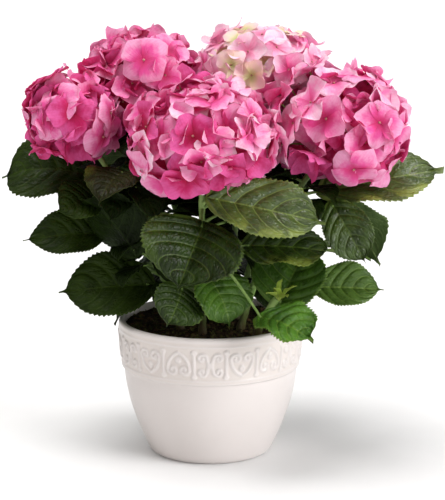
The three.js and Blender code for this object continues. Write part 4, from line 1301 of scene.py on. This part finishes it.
for name, shoot in SHOOTS.items():
    if shoot["head"] is None:
        continue
    places = head_places(name)
    where, facing, spin, form, size, shade = (np.array(column) for column in zip(*places))
    mesh = bpy.data.meshes.new(name + "_places")
    mesh.from_pydata(where * 0.001, [], [])
    store(mesh, "facing", "FLOAT_VECTOR", facing)
    for noted_as, kind, values in (("spin", "FLOAT", spin), ("size", "FLOAT", size),
                                   ("form", "INT", form), ("shade", "INT", shade)):
        store(mesh, noted_as, kind, values)
    source = bpy.data.objects.new(name + "_places", mesh)
    bpy.context.collection.objects.link(source)
    head = grown_by_nodes(name + "_florets", source, florets, {"Forms": form_shelf, **PETALS})
    bpy.data.objects.remove(source)
    high = shoot["head"][1]
    fork_z = shoot["top"][2] - 0.4 * high
    paths = [cane_path(shoot, np.linspace(shoot["stalk"] - 0.5, fork_z, 8), [fork_z])]
    fork = cane_point(shoot, fork_z)
    for place, facing_way in zip(where, facing):
        knee = fork + (place - fork) * 0.45 + np.array([0, 0, 0.08 * high])
        share = np.linspace(0, 1, 6)[:, None]
        under = place - facing_way * 0.6
        path = (1 - share) ** 2 * fork + 2 * share * (1 - share) * knee + share ** 2 * under
        paths.append((path, np.linspace(1.1, 0.65, 6)))
    stems = stalk_piece(name + "_flower_stalks", paths, 7, stalk_skin)
    for piece, slot in ((head, "petal_pale" if name == "top" else "petal"), (stems, "cane")):
        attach(piece, "root")
        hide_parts(name + "_flower_head")
clear_shelf(form_shelf)

# ---- Floor, light and camera ----
# A plain pale floor, a large soft light overhead, one at the right front, a weaker warm one at the left,
# and the camera a little above the plant, looking down at it.

CAMERA_PLACE = (0.012, -2.3431, 0.7250)
CAMERA_LENS, CAMERA_SENSOR = 172.8, 36.0
CAMERA_DOWN = 12.5  # degrees that it looks down
LIGHTS_AIM = (0, 0, 0.2)
FLOOR_REACH = 9000
ROOM_LIGHT = 0.24

floor_corners = [(x * FLOOR_REACH, y * FLOOR_REACH, 0) for x, y in ((-1, -1), (1, -1), (1, 1), (-1, 1))]
floor = mesh_piece("floor", floor_corners, [(0, 1, 2, 3)], [])
floor_paint, tree, shader = new_finish("floor_paint", 0.9, specular=0.1)
place = put(tree, "ShaderNodeTexCoord").outputs["Object"]
clouds = put(tree, "ShaderNodeGroup", {"Place": place}, node_tree=mottle)
paint = blend_colours(tree, clouds.outputs["Cloud"], (0.80, 0.80, 0.80), (0.81, 0.81, 0.81))
tree.links.new(paint, shader.inputs["Base Color"])
seen = put(tree, "ShaderNodeLightPath").outputs["Is Camera Ray"]
faint = maths(tree, "MULTIPLY", seen, 0.08)
glow = put(tree, "ShaderNodeEmission", {"Color": (1, 1, 1), "Strength": faint})
both = put(tree, "ShaderNodeAddShader", {0: shader.outputs[0], 1: glow.outputs[0]})
tree.links.new(both.outputs[0], tree.nodes["Material Output"].inputs["Surface"])
floor.data.materials.append(floor_paint)

world = bpy.data.worlds.new("studio")
bpy.context.scene.world = world
world.use_nodes = True
world.node_tree.nodes["Background"].inputs["Color"].default_value = (1, 1, 1, 1)
world.node_tree.nodes["Background"].inputs["Strength"].default_value = ROOM_LIGHT


def broad_light(name, place, spread, strength, tint):
    """A distant lamp, as even over the floor as a very large softbox; spread is its width in degrees."""
    lamp = bpy.data.lights.new(name, "SUN")
    lamp.angle = math.radians(spread)
    lamp.energy = strength
    lamp.color = tint
    made = bpy.data.objects.new(name, lamp)
    made.location = place
    made.rotation_euler = (Vector(LIGHTS_AIM) - Vector(place)).to_track_quat("-Z", "Y").to_euler()
    bpy.context.collection.objects.link(made)


broad_light("overhead", (-0.22, 0.02, 1.6), 40, 2.8, (1.0, 0.99, 0.98))
broad_light("right", (2.1, -1.25, 1.15), 40, 2.4, (1.0, 0.99, 0.99))
broad_light("left", (-1.5, -1.2, 0.5), 70, 0.5, (1.0, 0.88, 0.80))

camera_data = bpy.data.cameras.new("camera")
camera_data.lens = CAMERA_LENS
camera_data.sensor_width = CAMERA_SENSOR
camera = bpy.data.objects.new("camera", camera_data)
camera.location = CAMERA_PLACE
camera.rotation_euler = (math.radians(90 - CAMERA_DOWN), 0, 0)
bpy.context.collection.objects.link(camera)
bpy.context.scene.camera = camera
bpy.context.scene.view_settings.view_transform = "Standard"
